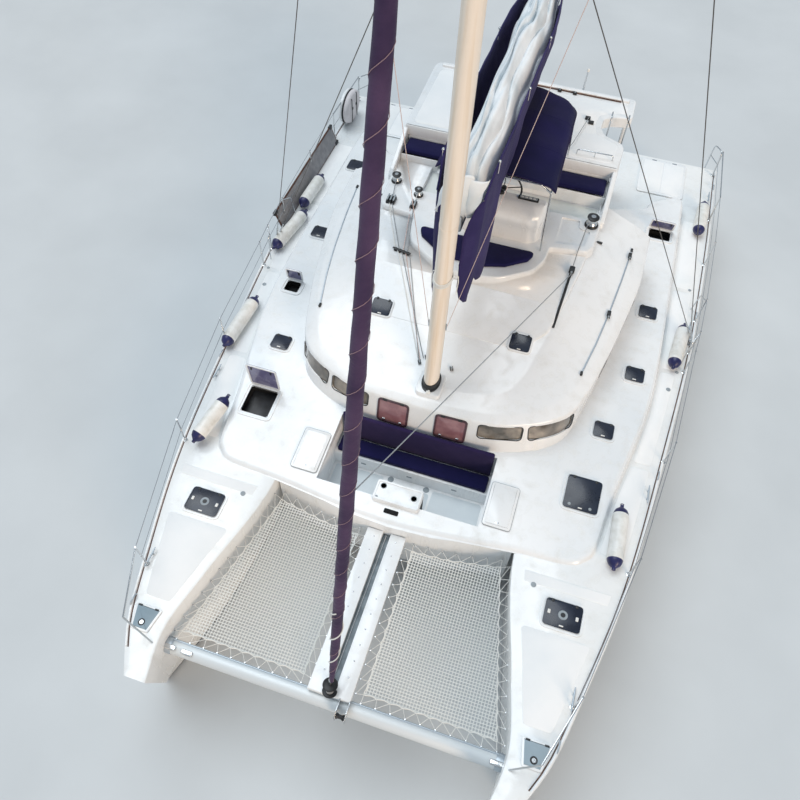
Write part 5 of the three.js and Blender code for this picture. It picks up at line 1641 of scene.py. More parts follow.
# A sheet winch's base, waisted drum, self-tailing top and cap: ink, sides and (radius, height) pairs
WINCH = [
    (1, 28, ((0.095, 0), (0.098, 0.012), (0.092, 0.03), (0.082, 0.04))),
    (0, 28, ((0.08, 0.03), (0.078, 0.045), (0.062, 0.06), (0.054, 0.085), (0.056, 0.11), (0.064, 0.122),
             (0.076, 0.13))),
    (1, 28, ((0.078, 0.128), (0.083, 0.134), (0.083, 0.148), (0.07, 0.153), (0.04, 0.157), (0.03, 0.157),
             (0.026, 0.15))),
    (0, 16, ((0.034, 0.156), (0.034, 0.16), (0.018, 0.162))),
]


def winch(form, x, y, z, size=1.0):
    """A sheet winch. Inks: steel, black."""
    for ink, sides, profile in WINCH:
        form.turned([(r * size, h * size) for r, h in profile], (x, y, z), ink=ink, sides=sides)


# Lids, treads and edges of the decks

LID_LIFT = 0.008
LID_DEEP = 0.024
LID_GAP = 0.008
DRAWN_OPEN = {("mid_hatch", "starboard"): 92, ("waist_hatch", "starboard"): 80, ("aft_hatch", "port"): 65}
DECK_EDGE = [(station(9 * t)[0], station(9 * t)[6], station(9 * t)[7]) for t in steps(120)]


def edge_at(y):
    """Outer and inner edge of the hull's deck at y."""
    for a, b in zip(DECK_EDGE, DECK_EDGE[1:]):
        if a[0] <= y <= b[0]:
            share = (y - a[0]) / (b[0] - a[0])
            return a[1] + (b[1] - a[1]) * share, a[2] + (b[2] - a[2]) * share
    return DECK_EDGE[-1][1:]


def sided(sign, x, y, raised, inner=None):
    """A function that sets a point of a lid down on the deck, through its hinge when it has one."""
    def place(u, v, w):
        point = Vector((u, v, w))
        spot = on_deck([inner @ point if inner else point], x, y, raised)[0]
        return (sign * spot.x, spot.y, spot.z)
    return place


def hatch_lids():
    rims = Form()
    for name, x, y, width, length, raised in HATCHES:
        a, b = width / 2, length / 2
        flat = box_outline(-a, -b, a, b, 0.06)
        for side, sign in SIDES:
            spot = sided(sign, x, y, raised)
            rims.collar(grown(flat, 0.036), grown(flat, 0.008), -0.004, 0.017, 0, spot)
            rims.collar(grown(flat, 0.010), grown(flat, -0.036), -0.03, LID_LIFT - 0.002, 0, spot)
            rims.collar(grown(flat, -0.030), grown(flat, -0.036), -0.05, LID_LIFT - 0.0015, 1, spot)
            # A black floor inside each raised hatch's well: painted shade.
            if raised:
                rims.slab(grown(flat, -0.033), -0.15, -0.14, 0.002, 1, spot)
            turn = math.radians(DRAWN_OPEN.get((name, side), 0))
            hinge = Matrix.Translation((0, b + LID_GAP, LID_DEEP)) @ Matrix.Rotation(-turn, 4, "X")
            put = sided(sign, x, y, raised, hinge)
            lid = Form()
            pane = box_outline(-a, -length - LID_GAP, a, -LID_GAP, 0.06)
            lid.slab(grown(pane, -0.004), -0.003, 0.008, 0.003, 0, put)
            lid.collar(grown(pane, -0.001), grown(pane, -0.030), -0.015, -0.002, 1, put)
            for u in (-0.32 * width, 0.32 * width):
                lid.slab(box_outline(u - 0.022, -0.055, u + 0.022, -0.010, 0.008), 0.006, 0.014, 0.003, 2,
                         put)
                lid.slab(box_outline(u - 0.012, 0.045 - length, u + 0.012, 0.10 - length, 0.006), -0.028,
                         -0.012, 0.003, 2, put)
            lid.slab(box_outline(-0.032, 0.022 - length, 0.032, 0.042 - length, 0.008), 0.007, 0.0125, 0.002,
                     3, put)
            if name == "mid_hatch":
                for u in (-0.17, 0.15):
                    lid.button(u, 0.06 - length, ((0.026, 0.006), (0.022, 0.013)), 20, 4, put)
            if name == "vent_hatch":
                middle = -length / 2 - LID_GAP
                lid.button(0, middle, ((0.070, 0.006), (0.067, 0.014)), 24, 4, put)
                lid.button(0, middle, ((0.036, 0.012), (0.033, 0.018)), 24, 2, put)
                for u in (-0.2, 0.2):
                    lid.slab(box_outline(u - 0.02, middle - 0.03, u + 0.02, middle + 0.03, 0.01), 0.006,
                             0.015, 0.003, 3, put)
            # Lids drawn open get the paler acrylic: painted reflection.
            looks = ["open_lid_painted_reflection" if turn else "acrylic", "white", "black", "vinyl", "grey"]
            lid.piece(name + "_lid_" + side, looks, name + "_" + side, smooth=45, slot="acrylic",
                      stands_for=(name + "_" + side,))
    rims.piece("hatch_rims", ["white", "black"], slot="gelcoat", smooth=30)


def bow_locker_lid(side, sign):
    put = sided(sign, 0, 0, False)
    bow = Form()
    outline = rounded(BOW_LID, 0.035, 4)
    bow.slab(outline, LID_LIFT, LID_LIFT + 0.018, 0.005, 0, put)
    bow.slab(grown(outline, -0.03), LID_LIFT + 0.01, LID_LIFT + 0.020, 0.002, 1, put)
    for x, y in ((2.65, -6.80), (2.90, -6.80)):
        bow.slab(box_outline(x - 0.03, y, x + 0.03, y + 0.028, 0.006), LID_LIFT + 0.01, LID_LIFT + 0.022,
                 0.003, 2, put)
    for r0, r1, z, ink in ((0.052, 0.05, 0.0215, 2), (0.03, 0.028, 0.024, 3)):
        bow.button(2.77, -7.0, ((r0, LID_LIFT), (r1, LID_LIFT + z)), 20, ink, put)
    bow.piece("bow_locker_lid_" + side, ["white", "bluegrey", "black", "steel"], "bow_lid_" + side, smooth=40,
              slot="non_skid", stands_for=("bow_lid_" + side,))


def locker_cover(side, sign):
    x0, x1, y0, y1 = 1.345, 1.78, -4.09, -3.37
    a, b = (x1 - x0) / 2, (y1 - y0) / 2
    put = sided(sign, (x0 + x1) / 2, (y0 + y1) / 2, True)
    locker = Form()
    outline = box_outline(-a, -b, a, b, 0.05, 4)
    locker.slab(outline, LID_LIFT, LID_LIFT + 0.018, 0.006, 0, put)
    locker.slab(grown(outline, -0.04), LID_LIFT + 0.01, LID_LIFT + 0.020, 0.002, 1, put)
    # Thin grey ring round the lid, standing in for the shadow in its gap: painted shade.
    locker.collar(grown(outline, 0.006), grown(outline, -0.001), LID_LIFT, LID_LIFT + 0.012, 3, put)
    locker.slab(box_outline(-0.03, -0.30, 0.03, -0.27, 0.008), LID_LIFT + 0.01, LID_LIFT + 0.023, 0.003, 2,
                put)
    locker.piece("locker_cover_" + side, ["white", "white", "steel", "grey"], "locker_lid_" + side, smooth=40,
                 slot="non_skid", stands_for=("locker_lid_" + side,))


def engine_cover(side, sign):
    x0, x1, y0, y1 = 2.608, 3.592, 4.648, 5.852
    put = sided(sign, 0, 0, False)
    engine = Form()
    outline = box_outline(x0, y0, x1, y1, 0.07)
    engine.slab(outline, LID_LIFT, LID_LIFT + 0.021, 0.006, 0, put)
    for c in range(2):
        u = x0 + 0.06 + c * 0.445
        engine.slab(box_outline(u, y0 + 0.06, u + 0.42, y1 - 0.06, 0.05), LID_LIFT + 0.01, LID_LIFT + 0.0235,
                    0.002, 1, put)
    for u in (x0 + 0.27, x1 - 0.27):
        engine.slab(box_outline(u - 0.05, y1 - 0.05, u + 0.05, y1 - 0.015, 0.012), LID_LIFT + 0.012,
                    LID_LIFT + 0.024, 0.002, 2, put)
    engine.piece("engine_cover_" + side, ["white", "tread", "steel"], "engine_lid_" + side, smooth=40,
                 slot="non_skid", stands_for=("engine_lid_" + side,))


def deck_lids():
    """Lids of the bow lockers, the lockers beside the forward cockpit and the engine rooms."""
    for side, sign in SIDES:
        bow_locker_lid(side, sign)
        locker_cover(side, sign)
        engine_cover(side, sign)


def deck_treads():
    """Non-skid panels on the hulls' decks and on the raised deck, with smooth gaps between them."""
    form = Form()
    for _, sign in SIDES:
        put = sided(sign, 0, 0, False)

        def run(y0, y1, inner_at, outer_gap, radius=0.06):
            ys = [y0 + (y1 - y0) * t for t in steps(9)]
            outline = [(edge_at(y)[0] - outer_gap, y) for y in ys] + [(inner_at(y), y) for y in reversed(ys)]
            size = [radius if i in (0, 8, 9, 17) else 0.3 for i in range(18)]
            form.slab(rounded(outline, size, 3), -0.001, 0.0025, 0.002, 0, put)

        def raised_edge(y):
            for (xa, ya), (xb, yb) in zip(RAISED_EDGE[4:], RAISED_EDGE[5:]):
                if ya <= y <= yb:
                    return xa + (xb - xa) * (y - ya) / (yb - ya) + 0.09
            return RAISED_EDGE[4][0] + 0.09 if y < -4 else RAISED_EDGE[-1][0] + 0.09

        run(-6.62, -5.36, lambda y: edge_at(y)[1] + 0.16, 0.2)
        run(-4.72, -4.55, lambda y: edge_at(y)[1] + 0.2, 0.2, 0.03)
        for y0, y1 in ((-3.95, -2.3), (-2.2, -0.2), (-0.1, 1.9), (2.0, 4.0)):
            run(y0, y1, raised_edge, 0.2)
    form.piece("deck_treads", ["tread"], slot="non_skid", smooth=60)


STANCHIONS = [(3.13, -6.22), (3.60, -4.15), (3.89, -2.05), (4.04, -0.08), (4.09, 0.40), (4.14, 1.22),
              (4.19, 2.80), (4.20, 4.20), (4.17, 5.75)]


def stanchion_bases():
    """A round foot with a collar under each stanchion, and a loop where the guard lines pass through it."""
    form = Form()
    for _, sign in SIDES:
        for x, y in STANCHIONS:
            form.turned([(0.040, 0), (0.038, 0.006), (0.022, 0.012), (0.0175, 0.03), (0.0165, 0.07),
                         (0.0145, 0.072)],
                        (sign * x, y, SHEER), ink=0, sides=16)
            for z in (0.305, 0.598):
                form.turned([(0.014, -0.012), (0.017, -0.008), (0.017, 0.008), (0.014, 0.012)],
                            (sign * x, y, SHEER + z), ink=0, sides=12)
    form.piece("stanchion_bases", ["steel"], slot="steel", smooth=45)


def toe_rails():
    """A low rail along each deck's edge with a dark line inside it, fairleads and cleats."""
    form = Form()
    for _, sign in SIDES:
        ys = [-7.35 + 13.25 * t for t in steps(60)]
        outer = [(sign * (edge_at(y)[0] - 0.035), y, SHEER + 0.008) for y in ys]
        form.tube(outer, 0.017, 8, 0, 0.8)
        line = [(sign * (edge_at(y)[0] - 0.066), y, SHEER + 0.001) for y in ys]
        form.tube(line, 0.009, 6, 1, 0.5)
        for y in (-6.13, -2.75, 0.95, 4.9):
            x = edge_at(y)[0] - 0.13
            for v in (-0.07, 0.07):
                form.turned([(0.016, 0), (0.012, 0.02), (0.012, 0.045)], (sign * x, y + v, SHEER), ink=2,
                            sides=10)
            form.tube([(sign * x, y - 0.16, SHEER + 0.058), (sign * x, y - 0.08, SHEER + 0.05),
                       (sign * x, y + 0.08, SHEER + 0.05), (sign * x, y + 0.16, SHEER + 0.058)],
                      [0.008, 0.014, 0.014, 0.008], 10, 2)
        for y in (-6.75, -2.35, 1.35, 5.3):
            x = edge_at(y)[0] - 0.05
            form.tube([(sign * x, y - 0.08, SHEER + 0.02), (sign * x, y - 0.055, SHEER + 0.05),
                       (sign * x, y + 0.055, SHEER + 0.05), (sign * x, y + 0.08, SHEER + 0.02)], 0.011, 8, 2)
        # Round fillers near the gate
        for x, y, size in ((3.93, -0.12, 0.03), (3.82, -0.55, 0.04), (3.98, 2.0, 0.03), (2.3, -4.74, 0.04)):
            form.turned([(size, 0), (size, 0.005), (size * 0.8, 0.008)], (sign * x, y, SHEER), ink=3,
                        sides=16)
    form.piece("toe_rails", ["white", "wood", "alloy", "grey"], slot="alloy", smooth=50)


# Fittings on the roof and the flybridge

def laid(top, points, lift, per=4):
    """Points in plan laid on a surface, with extra ones between them."""
    out = []
    for (x0, y0), (x1, y1) in zip(points, points[1:]):
        for k in range(per):
            t = k / per
            x, y = x0 + (x1 - x0) * t, y0 + (y1 - y0) * t
            out.append((x, y, top(x, y) + lift))
    x, y = points[-1]
    return out + [(x, y, top(x, y) + lift)]


def block(form, spot, way, size, ink=0, wheel=1):
    """A pulley block on the deck: two cheeks round a sheave, turned to face along way in plan."""
    turn = Matrix.Translation(spot) @ Matrix.Rotation(math.atan2(way[1], way[0]), 4, "Z")
    for side in (-1, 1):
        form.slab(box_outline(-size, 0.0, size, size * 1.3, size * 0.5), side * size * 0.42 - 0.004,
                  side * size * 0.42 + 0.004, 0.003, ink, lambda u, v, w: turn @ Vector((u, w, v)))
    loops = [[turn @ Vector((math.cos(t) * size * 0.62, w, size * 0.7 + math.sin(t) * size * 0.62))
              for t in turns(16)] for w in (-size * 0.34, size * 0.34)]
    form.loft(loops, wheel)


def clutch_bank(form, x, y, z, count):
    """Rope clutches side by side, each with its lever. Inks: black, grey."""
    for i in range(count):
        u = x + (i - (count - 1) / 2) * 0.055
        side = rounded([(y - 0.10, z), (y + 0.10, z), (y + 0.085, z + 0.052), (y + 0.01, z + 0.072),
                        (y - 0.085, z + 0.048)],
                       0.012, 3)
        form.slab(side, u - 0.021, u + 0.021, 0.006, 0, upright)
        lever = rounded([(y - 0.07, z + 0.066), (y + 0.075, z + 0.082), (y + 0.075, z + 0.094),
                         (y - 0.07, z + 0.078)],
                        0.005, 2)
        form.slab(lever, u - 0.014, u + 0.014, 0.003, 1, upright)


def roof_hatches(top):
    hatches = Form()
    for sign in (1, -1):
        x, y, a, b = 1.17, -1.39, 0.165, 0.14
        slope = (top(sign * x, y + 0.1) - top(sign * x, y - 0.1)) / 0.2
        spot = Matrix.Translation((sign * x, y, top(sign * x, y)))
        place = spot @ Matrix.Rotation(math.atan(slope), 4, "X")
        flat = box_outline(-a, -b, a, b, 0.05)

        def put(u, v, w, place=place):
            return place @ Vector((u, v, w))

        hatches.slab(grown(flat, 0.03), -0.02, 0.016, 0.008, 0, put)
        hatches.slab(flat, 0.0, 0.024, 0.005, 1, put)
        hatches.slab(box_outline(-0.03, -b + 0.012, 0.03, -b + 0.03, 0.006), 0.02, 0.028, 0.002, 2, put)
        for u in (-0.1, 0.1):
            hatches.slab(box_outline(u - 0.018, b - 0.03, u + 0.018, b + 0.012, 0.006), 0.0, 0.03, 0.004, 3,
                         put)
    hatches.piece("roof_hatches", ["white", "acrylic", "vinyl", "black"], slot="acrylic", smooth=45)


def roof_winches():
    winches = Form()
    winch(winches, 1.78, 1.25, SHELF_Z - 0.001, 1.25)
    winch(winches, -1.78, 1.25, SHELF_Z - 0.001)
    winch(winches, -1.29, 1.01, SHELF_Z - 0.001, 0.9)
    winches.piece("winches", ["steel", "black"], slot="steel", smooth=40)


def organiser_spot(i):
    """The organiser's sheave number i, in plan."""
    return -1.04 - i * 0.075, -0.40 + i * 0.012


def roof_fittings(top):
    """Clutches, organiser, sheet tracks and cars, blocks and the traveller."""
    gear = Form()
    clutch_bank(gear, -1.70, 0.70, SHELF_Z - 0.002, 3)
    clutch_bank(gear, -1.29, 0.70, SHELF_Z - 0.002, 2)
    # Organiser: a row of sheaves between two plates
    for i in range(4):
        x, y = organiser_spot(i)
        gear.turned([(0.034, 0.006), (0.036, 0.012), (0.028, 0.02), (0.036, 0.028), (0.034, 0.034)],
                    (x, y, top(x, y)), ink=0, sides=18)
    plate_line = laid(top, [(-0.99, -0.41), (-1.32, -0.355)], 0.04, 3)
    gear.tube(plate_line, 0.022, 8, 0, 0.25)
    # Sheet tracks: one beside the shelf with its car, one on each shoulder of the roof
    inner = [(1.655, 0.22), (1.63, -0.40), (1.60, -1.0)]
    gear.tube(laid(top, inner, 0.012, 8), 0.021, 8, 0, 0.6)
    gear.slab(box_outline(1.61, 0.06, 1.70, 0.19, 0.02), top(1.65, 0.12) + 0.01, top(1.65, 0.12) + 0.062,
              0.01, 0)
    block(gear, (1.655, 0.02, top(1.655, 0.02) + 0.03), (0.05, -1), 0.045, 0, 1)
    for sign in (1, -1):
        outer = [(sign * x, y) for x, y in ((2.60, 1.38), (2.53, 0.6), (2.44, -0.2), (2.34, -0.9),
                                            (2.22, -1.52))]
        gear.tube(laid(top, outer, 0.009, 8), 0.012, 8, 2, 0.6)
        for x, y in (outer[0], outer[-1]):
            gear.slab(box_outline(x - 0.02, y - 0.04, x + 0.02, y + 0.04, 0.012), top(x, y), top(x, y) + 0.03,
                      0.006, 0)
    for y in (1.22, -0.25):
        x = 2.585 if y > 0 else 2.435
        gear.slab(box_outline(x - 0.03, y - 0.055, x + 0.03, y + 0.055, 0.015), top(x, y) + 0.004,
                  top(x, y) + 0.05, 0.01, 0)
        block(gear, (x, y - 0.09, top(x, y - 0.09) + 0.025), (0.1, -1), 0.035, 0, 1)
    # Turning blocks at the mast's foot
    for x, y in ((-0.28, -2.13), (-0.2, -2.02), (0.24, -2.1)):
        block(gear, (x, y, top(x, y)), (-0.5, 1), 0.04, 0, 1)
    # Traveller fittings and pads on the aft deck
    for x, y in ((1.22, 3.62), (1.30, 3.5)):
        gear.slab(box_outline(x - 0.05, y - 0.035, x + 0.05, y + 0.035, 0.015), AFT_DECK_Z, AFT_DECK_Z + 0.05,
                  0.012, 0)
    for x in (-1.05, 0.55, 0.85):
        block(gear, (x, 4.34, AFT_DECK_Z), (1, 0.0), 0.04, 0, 1)
    # Dark brown line in the aft deck's groove by the traveller: partly the groove's brown, partly painted
    # shade.
    gear.tube([(-1.55, 4.385, AFT_DECK_Z + 0.012), (1.75, 4.385, AFT_DECK_Z + 0.012)], 0.016, 8, 3, 0.7)
    for x, y in ((2.0, 1.08), (-2.02, 1.02)):
        gear.slab(box_outline(x - 0.05, y - 0.02, x + 0.05, y + 0.02, 0.01), top(x, y), top(x, y) + 0.03,
                  0.006, 0)
    # Opening port in the starboard bench's front
    gear.slab(box_outline(-1.17, 3.545, -0.77, 3.655, 0.035), 0.0, 0.012, 0.004, 1,
              facing_ahead(SEAT_EDGE))
    gear.slab(box_outline(-1.14, 3.565, -0.80, 3.635, 0.025), 0.0, 0.016, 0.003, 0,
              facing_ahead(SEAT_EDGE))
    gear.piece("roof_fittings", ["black", "grey", "alloy", "wood"], slot="black_plastic", smooth=45)


def roof_lines(top):
    """The lines led aft from the mast, the sheets, and the flag halyards."""
    lines = Form()
    foot = [(-0.30, -2.1), (-0.27, -2.12), (-0.24, -2.05), (-0.33, -2.06)]
    for i, ink in enumerate((0, 1, 0, 2)):
        x, y = organiser_spot(i)
        run = laid(top, [foot[i], (x + 0.03, y)], 0.03, 10)
        lines.tube(run, 0.0065, 6, ink)
        target = ((-1.262, 0.60), (-1.317, 0.60), (-1.645, 0.60), (-1.70, 0.60))[i]
        lines.tube(laid(top, [(x - 0.02, y + 0.02), target], 0.03, 8), 0.0065, 6, ink)
    lines.tube(laid(top, [(-1.29, 0.8), (-1.30, 0.95)], 0.05, 2), 0.0065, 6, 2)
    lines.tube(laid(top, [(-1.7, 0.8), (-1.77, 1.16)], 0.05, 3), 0.0065, 6, 0)
    # Sheet from the port winch along the track to its car
    lines.tube(laid(top, [(1.72, 1.20), (1.67, 0.55), (1.655, 0.2)], 0.045, 6), 0.007, 6, 3)
    # Thin line from the aft deck's block to the bench's end, and one across the roof to the headsail's drum
    lines.tube([(1.24, 3.6, AFT_DECK_Z + 0.06), (1.10, 2.75, 4.09), (0.98, 2.30, 4.03)], 0.006, 6, 3)
    lines.tube([(1.655, -0.03, top(1.655, 0.0) + 0.07), (0.075, -5.94, 5.68)], 0.007, 6, 3)
    z, half, sweep = SPREADERS[0]
    for sign in (1, -1):
        lines.tube([(sign * 0.135, mast_y(HALYARD_FOOT), HALYARD_FOOT),
                    (sign * (half - 0.06), mast_y(z) + sweep - 0.03, z + 0.03)],
                   0.0045, 6, 1)
    lines.piece("roof_lines", ["grey_rope", "red_rope", "white_rope", "grey_rope"], slot="black_plastic",
                smooth=70)


def roof_gear():
    top = heights("house_shell", "flybridge_moulding")
    roof_hatches(top)
    roof_winches()
    roof_fittings(top)
    roof_lines(top)


def fly_rails():
    """Rail behind the port bench, the ladder through the aft deck's notch, and the stern light's pole."""
    form = Form()
    z = AFT_DECK_Z
    form.tube(rounded_path([(1.20, 2.50, z), (1.20, 2.50, z + 0.10), (1.84, 2.52, z + 0.10), (1.84, 2.52, z)],
                           0.05), 0.011, 10)
    form.tube([(1.52, 2.51, z), (1.52, 2.51, z + 0.10)], 0.009, 8)
    for x in (1.64, 1.95):
        form.tube(rounded_path([(x, 3.36, 2.2), (x, 3.50, 3.95), (x, 3.53, z + 0.18), (x, 3.74, z + 0.18),
                                (x, 3.90, z)], 0.07),
                  0.014, 10)
    for step in (2.55, 2.93, 3.31, 3.69):
        y = 3.36 + (step - 2.2) * 0.08
        form.tube([(1.64, y, step), (1.95, y, step)], 0.013, 8)
    form.tube([(0.98, 4.56, z), (0.98, 4.58, z + 0.10), (0.985, 4.60, z + 0.36)], [0.022, 0.016, 0.012], 10)
    form.turned([(0.012, 0), (0.026, 0.006), (0.026, 0.05), (0.016, 0.06)], (0.985, 4.60, z + 0.35), ink=1,
                sides=14)
    form.piece("fly_rails", ["steel", "vinyl"], slot="steel", smooth=60)


def rounded_path(points, radius, per=4):
    """An open path in space with its corners rounded."""
    points = [Vector(p) for p in points]
    out = [points[0]]
    for a, b, c in zip(points, points[1:], points[2:]):
        reach = min(radius, (a - b).length * 0.48, (c - b).length * 0.48)
        start, end = b + (a - b).normalized() * reach, b + (c - b).normalized() * reach
        out += [start * (1 - t) ** 2 + b * 2 * t * (1 - t) + end * t * t
                for t in (k / per for k in range(per + 1))]
    return out + [points[-1]]


# Loose gear on deck: fenders, the boarding plank, the float's case

FLOAT_Y = 4.95
FENDER_RADIUS = 0.122

FENDERS = [
    ((-3.90, 2.67, 2.085), (-3.94, 1.62, 2.085)), ((-3.80, 1.50, 2.085), (-3.98, 0.30, 2.085)),
    ((-3.75, -1.02, 2.085), (-3.81, -2.25, 2.085)), ((-3.17, -3.35, 2.29), (-3.39, -4.21, 2.10)),
    ((3.33, -3.15, 2.085), (3.35, -4.20, 2.085)), ((4.03, 4.55, 2.085), (3.97, 3.52, 2.085)),
    ((3.93, 0.92, 2.085), (3.82, -0.15, 2.085)),
]


def fenders():
    for i, (a, b) in enumerate(FENDERS):
        a, b = Vector(a), Vector(b)
        form = Form()
        way = (b - a).normalized()
        length = (b - a).length
        profile = [(0.010, -0.02), (0.028, -0.015), (0.030, 0.02), (0.05, 0.035), (0.09, 0.07), (0.112, 0.12),
                   (0.118, 0.155)]
        form.turned(profile, a, way, 24, 1)
        form.turned([(0.1175, 0.15), (0.1205, 0.16), (FENDER_RADIUS, 0.22), (FENDER_RADIUS, length - 0.22),
                     (0.1205, length - 0.16), (0.1175, length - 0.15)], a, way, 24, 0)
        form.turned([(r, length - h) for r, h in reversed(profile)], a, way, 24, 1)
        for k in (0.3, 0.5, 0.7):
            form.turned([(FENDER_RADIUS, length * k - 0.012), (0.1238, length * k - 0.006),
                         (0.1238, length * k + 0.006), (FENDER_RADIUS, length * k + 0.012)], a, way, 24, 0)
        eye = a - way * 0.035
        form.tube([eye + Vector((math.cos(t) * 0.022, 0, math.sin(t) * 0.022)) for t in turns(12, 1)], 0.008,
                  6, 1)
        form.piece("fender_" + str(i + 1), ["vinyl", "blue_vinyl"], slot="black_plastic", smooth=50)


def boarding_plank(form):
    """The plank on edge along the starboard rail."""
    foot, head = (-4.07, 1.965), (-4.20, 2.34)
    ends = (0.98, 4.02)
    section = [foot, (foot[0] - 0.035, foot[1]), (head[0] - 0.035, head[1]), head]
    soft = rounded(section, 0.012, 2)
    form.loft([[(x, y, z) for x, z in soft] for y in ends], 0)
    for (x, z), size in ((head, 0.020), (foot, 0.016)):
        form.tube([(x - 0.017, ends[0] - 0.01, z), (x - 0.017, ends[1] + 0.01, z)], size, 8, 1)
    for y in (ends[0], ends[1]):
        form.tube([(foot[0] - 0.017, y, foot[1]), (head[0] - 0.017, y, head[1])], 0.02, 8, 1)
    for y in (ends[0] + 0.02, ends[1] - 0.02):
        for x, z in ((foot[0] - 0.017, foot[1] + 0.01), (head[0] - 0.017, head[1] - 0.01)):
            form.slab(box_outline(y - 0.07, z - 0.04, y + 0.07, z + 0.04, 0.02), x - 0.03, x + 0.03, 0.012, 5,
                      upright)


def float_case(form):
    """A float's oval case, on edge against the starboard rail."""
    oval = [(FLOAT_Y + math.cos(t) * 0.42 * (1 + 0.06 * math.sin(t) ** 2), 2.31 + math.sin(t) * 0.34)
            for t in turns(40)]

    form.slab(oval, -4.235, -4.13, 0.045, 3, lambda u, v, w: (-8.365 - w, u, v))
    form.slab(grown(oval, 0.008), -4.142, -4.118, 0.006, 5, upright)
    form.slab(oval, -4.13, -3.99, 0.06, 7, upright)
    for v in (-0.15, 0.15):
        strap = [(-4.248, FLOAT_Y + v, 2.02), (-4.248, FLOAT_Y + v, 2.60), (-3.98, FLOAT_Y + v, 2.60),
                 (-3.98, FLOAT_Y + v, 2.02)]
        form.tube(rounded_path(strap, 0.06), 0.018, 6, 5, 0.25)
    for v in (-0.1, 0.12):
        form.slab(box_outline(FLOAT_Y + v - 0.03, 2.30, FLOAT_Y + v + 0.03, 2.36, 0.012), -3.992, -3.982,
                  0.003, 5, upright)
    for y in (4.68, 5.22):
        form.tube(rounded_path([(-4.12, y, SHEER), (-4.12, y, SHEER + 0.10), (-4.05, y, SHEER + 0.10)], 0.03),
                  0.014, 8, 6)


def stern_gear():
    form = Form()
    boarding_plank(form)
    float_case(form)
    form.piece("deck_gear", ["plank", "wood", "grey", "white", "grey", "black", "steel", "beige"],
               slot="black_plastic", smooth=45)


def rail_braces():
    """Hoops round the stern steps and braces beside the gates in the guard rails."""
    rail = Form()
    for sign in (1, -1):
        hoop = rounded_path([(sign * 4.16, 5.72, SHEER), (sign * 4.16, 5.74, SHEER + 0.6),
                             (sign * 4.02, 6.10, SHEER + 0.52), (sign * 4.02, 6.18, 1.62)], 0.12)
        rail.tube(hoop, 0.014, 10)
        rail.tube([(sign * 4.16, 5.73, SHEER + 0.3), (sign * 4.02, 6.12, SHEER + 0.24)], 0.010, 8)
        for bends in (((4.09, 0.40), (4.00, 0.20), (3.98, 0.12)), ((4.14, 1.22), (4.06, 1.42), (4.04, 1.5))):
            brace = [(sign * x, y, SHEER + up) for (x, y), up in zip(bends, (0.55, 0.48, 0))]
            rail.tube(rounded_path(brace, 0.05), 0.010, 8)
    rail.piece("rail_braces", ["steel"], slot="steel", smooth=60)


def forward_cockpit():
    """Console, treads, latches and small fittings of the well ahead of the house."""
    form = Form()
    x0, x1, front, back, top = -0.37, 0.38, -4.24, -3.88, 2.09
    outline = box_outline(x0, front, x1, back, 0.05)
    form.slab(outline, WELL["floor"], top, 0.02, 0)
    form.collar(grown(outline, -0.012), grown(outline, -0.04), top - 0.01, top + 0.012, 0)
    for x, y, size in ((-0.25, -3.98, 0.042), (0.26, -4.05, 0.042)):
        form.collar([(x + math.cos(t) * size * 1.2, y + math.sin(t) * size * 1.2) for t in turns(24)],
                    [(x + math.cos(t) * size, y + math.sin(t) * size) for t in turns(24)],
                    top - 0.02, top + 0.004, 1)
        form.turned([(size, 0), (size, 0.001)], (x, y, top - 0.001), ink=4, sides=24)
    form.turned([(0.022, 0), (0.02, 0.01), (0.01, 0.012)], (-0.30, -4.19, top), ink=1, sides=16)
    # Slot for the anchor's chain ahead of the console: a block in black painted shade.
    form.slab(box_outline(-0.13, -4.37, 0.10, -4.29, 0.02), 2.0, raised_z(-4.33) + 0.006, 0.003, 2)
    # Seat's riser: lids with latches and two round fittings
    for x in (-0.80, 0.0, 0.77):
        form.slab(box_outline(x - 0.045, 1.49, x + 0.045, 1.515, 0.01), 0.0, 0.012, 0.004, 1,
                  facing_ahead(WELL["riser"]))
    for x in (-0.30, 0.32):
        form.turned([(0.05, 0), (0.052, 0.004), (0.045, 0.008), (0.02, 0.009)],
                    (x, WELL["riser"] - 0.055, WELL["floor"] + 0.001), ink=1, sides=24)
    for corners in ((-1.27, -4.11, -0.42, -3.44), (0.43, -4.11, 1.27, -3.44), (-0.38, -3.83, 0.39, -3.52)):
        form.slab(box_outline(*corners, 0.05), WELL["floor"] - 0.001, WELL["floor"] + 0.003, 0.002, 4)
    form.piece("forward_cockpit", ["white", "grey", "dark", "steel", "floor"], slot="gelcoat", smooth=40)


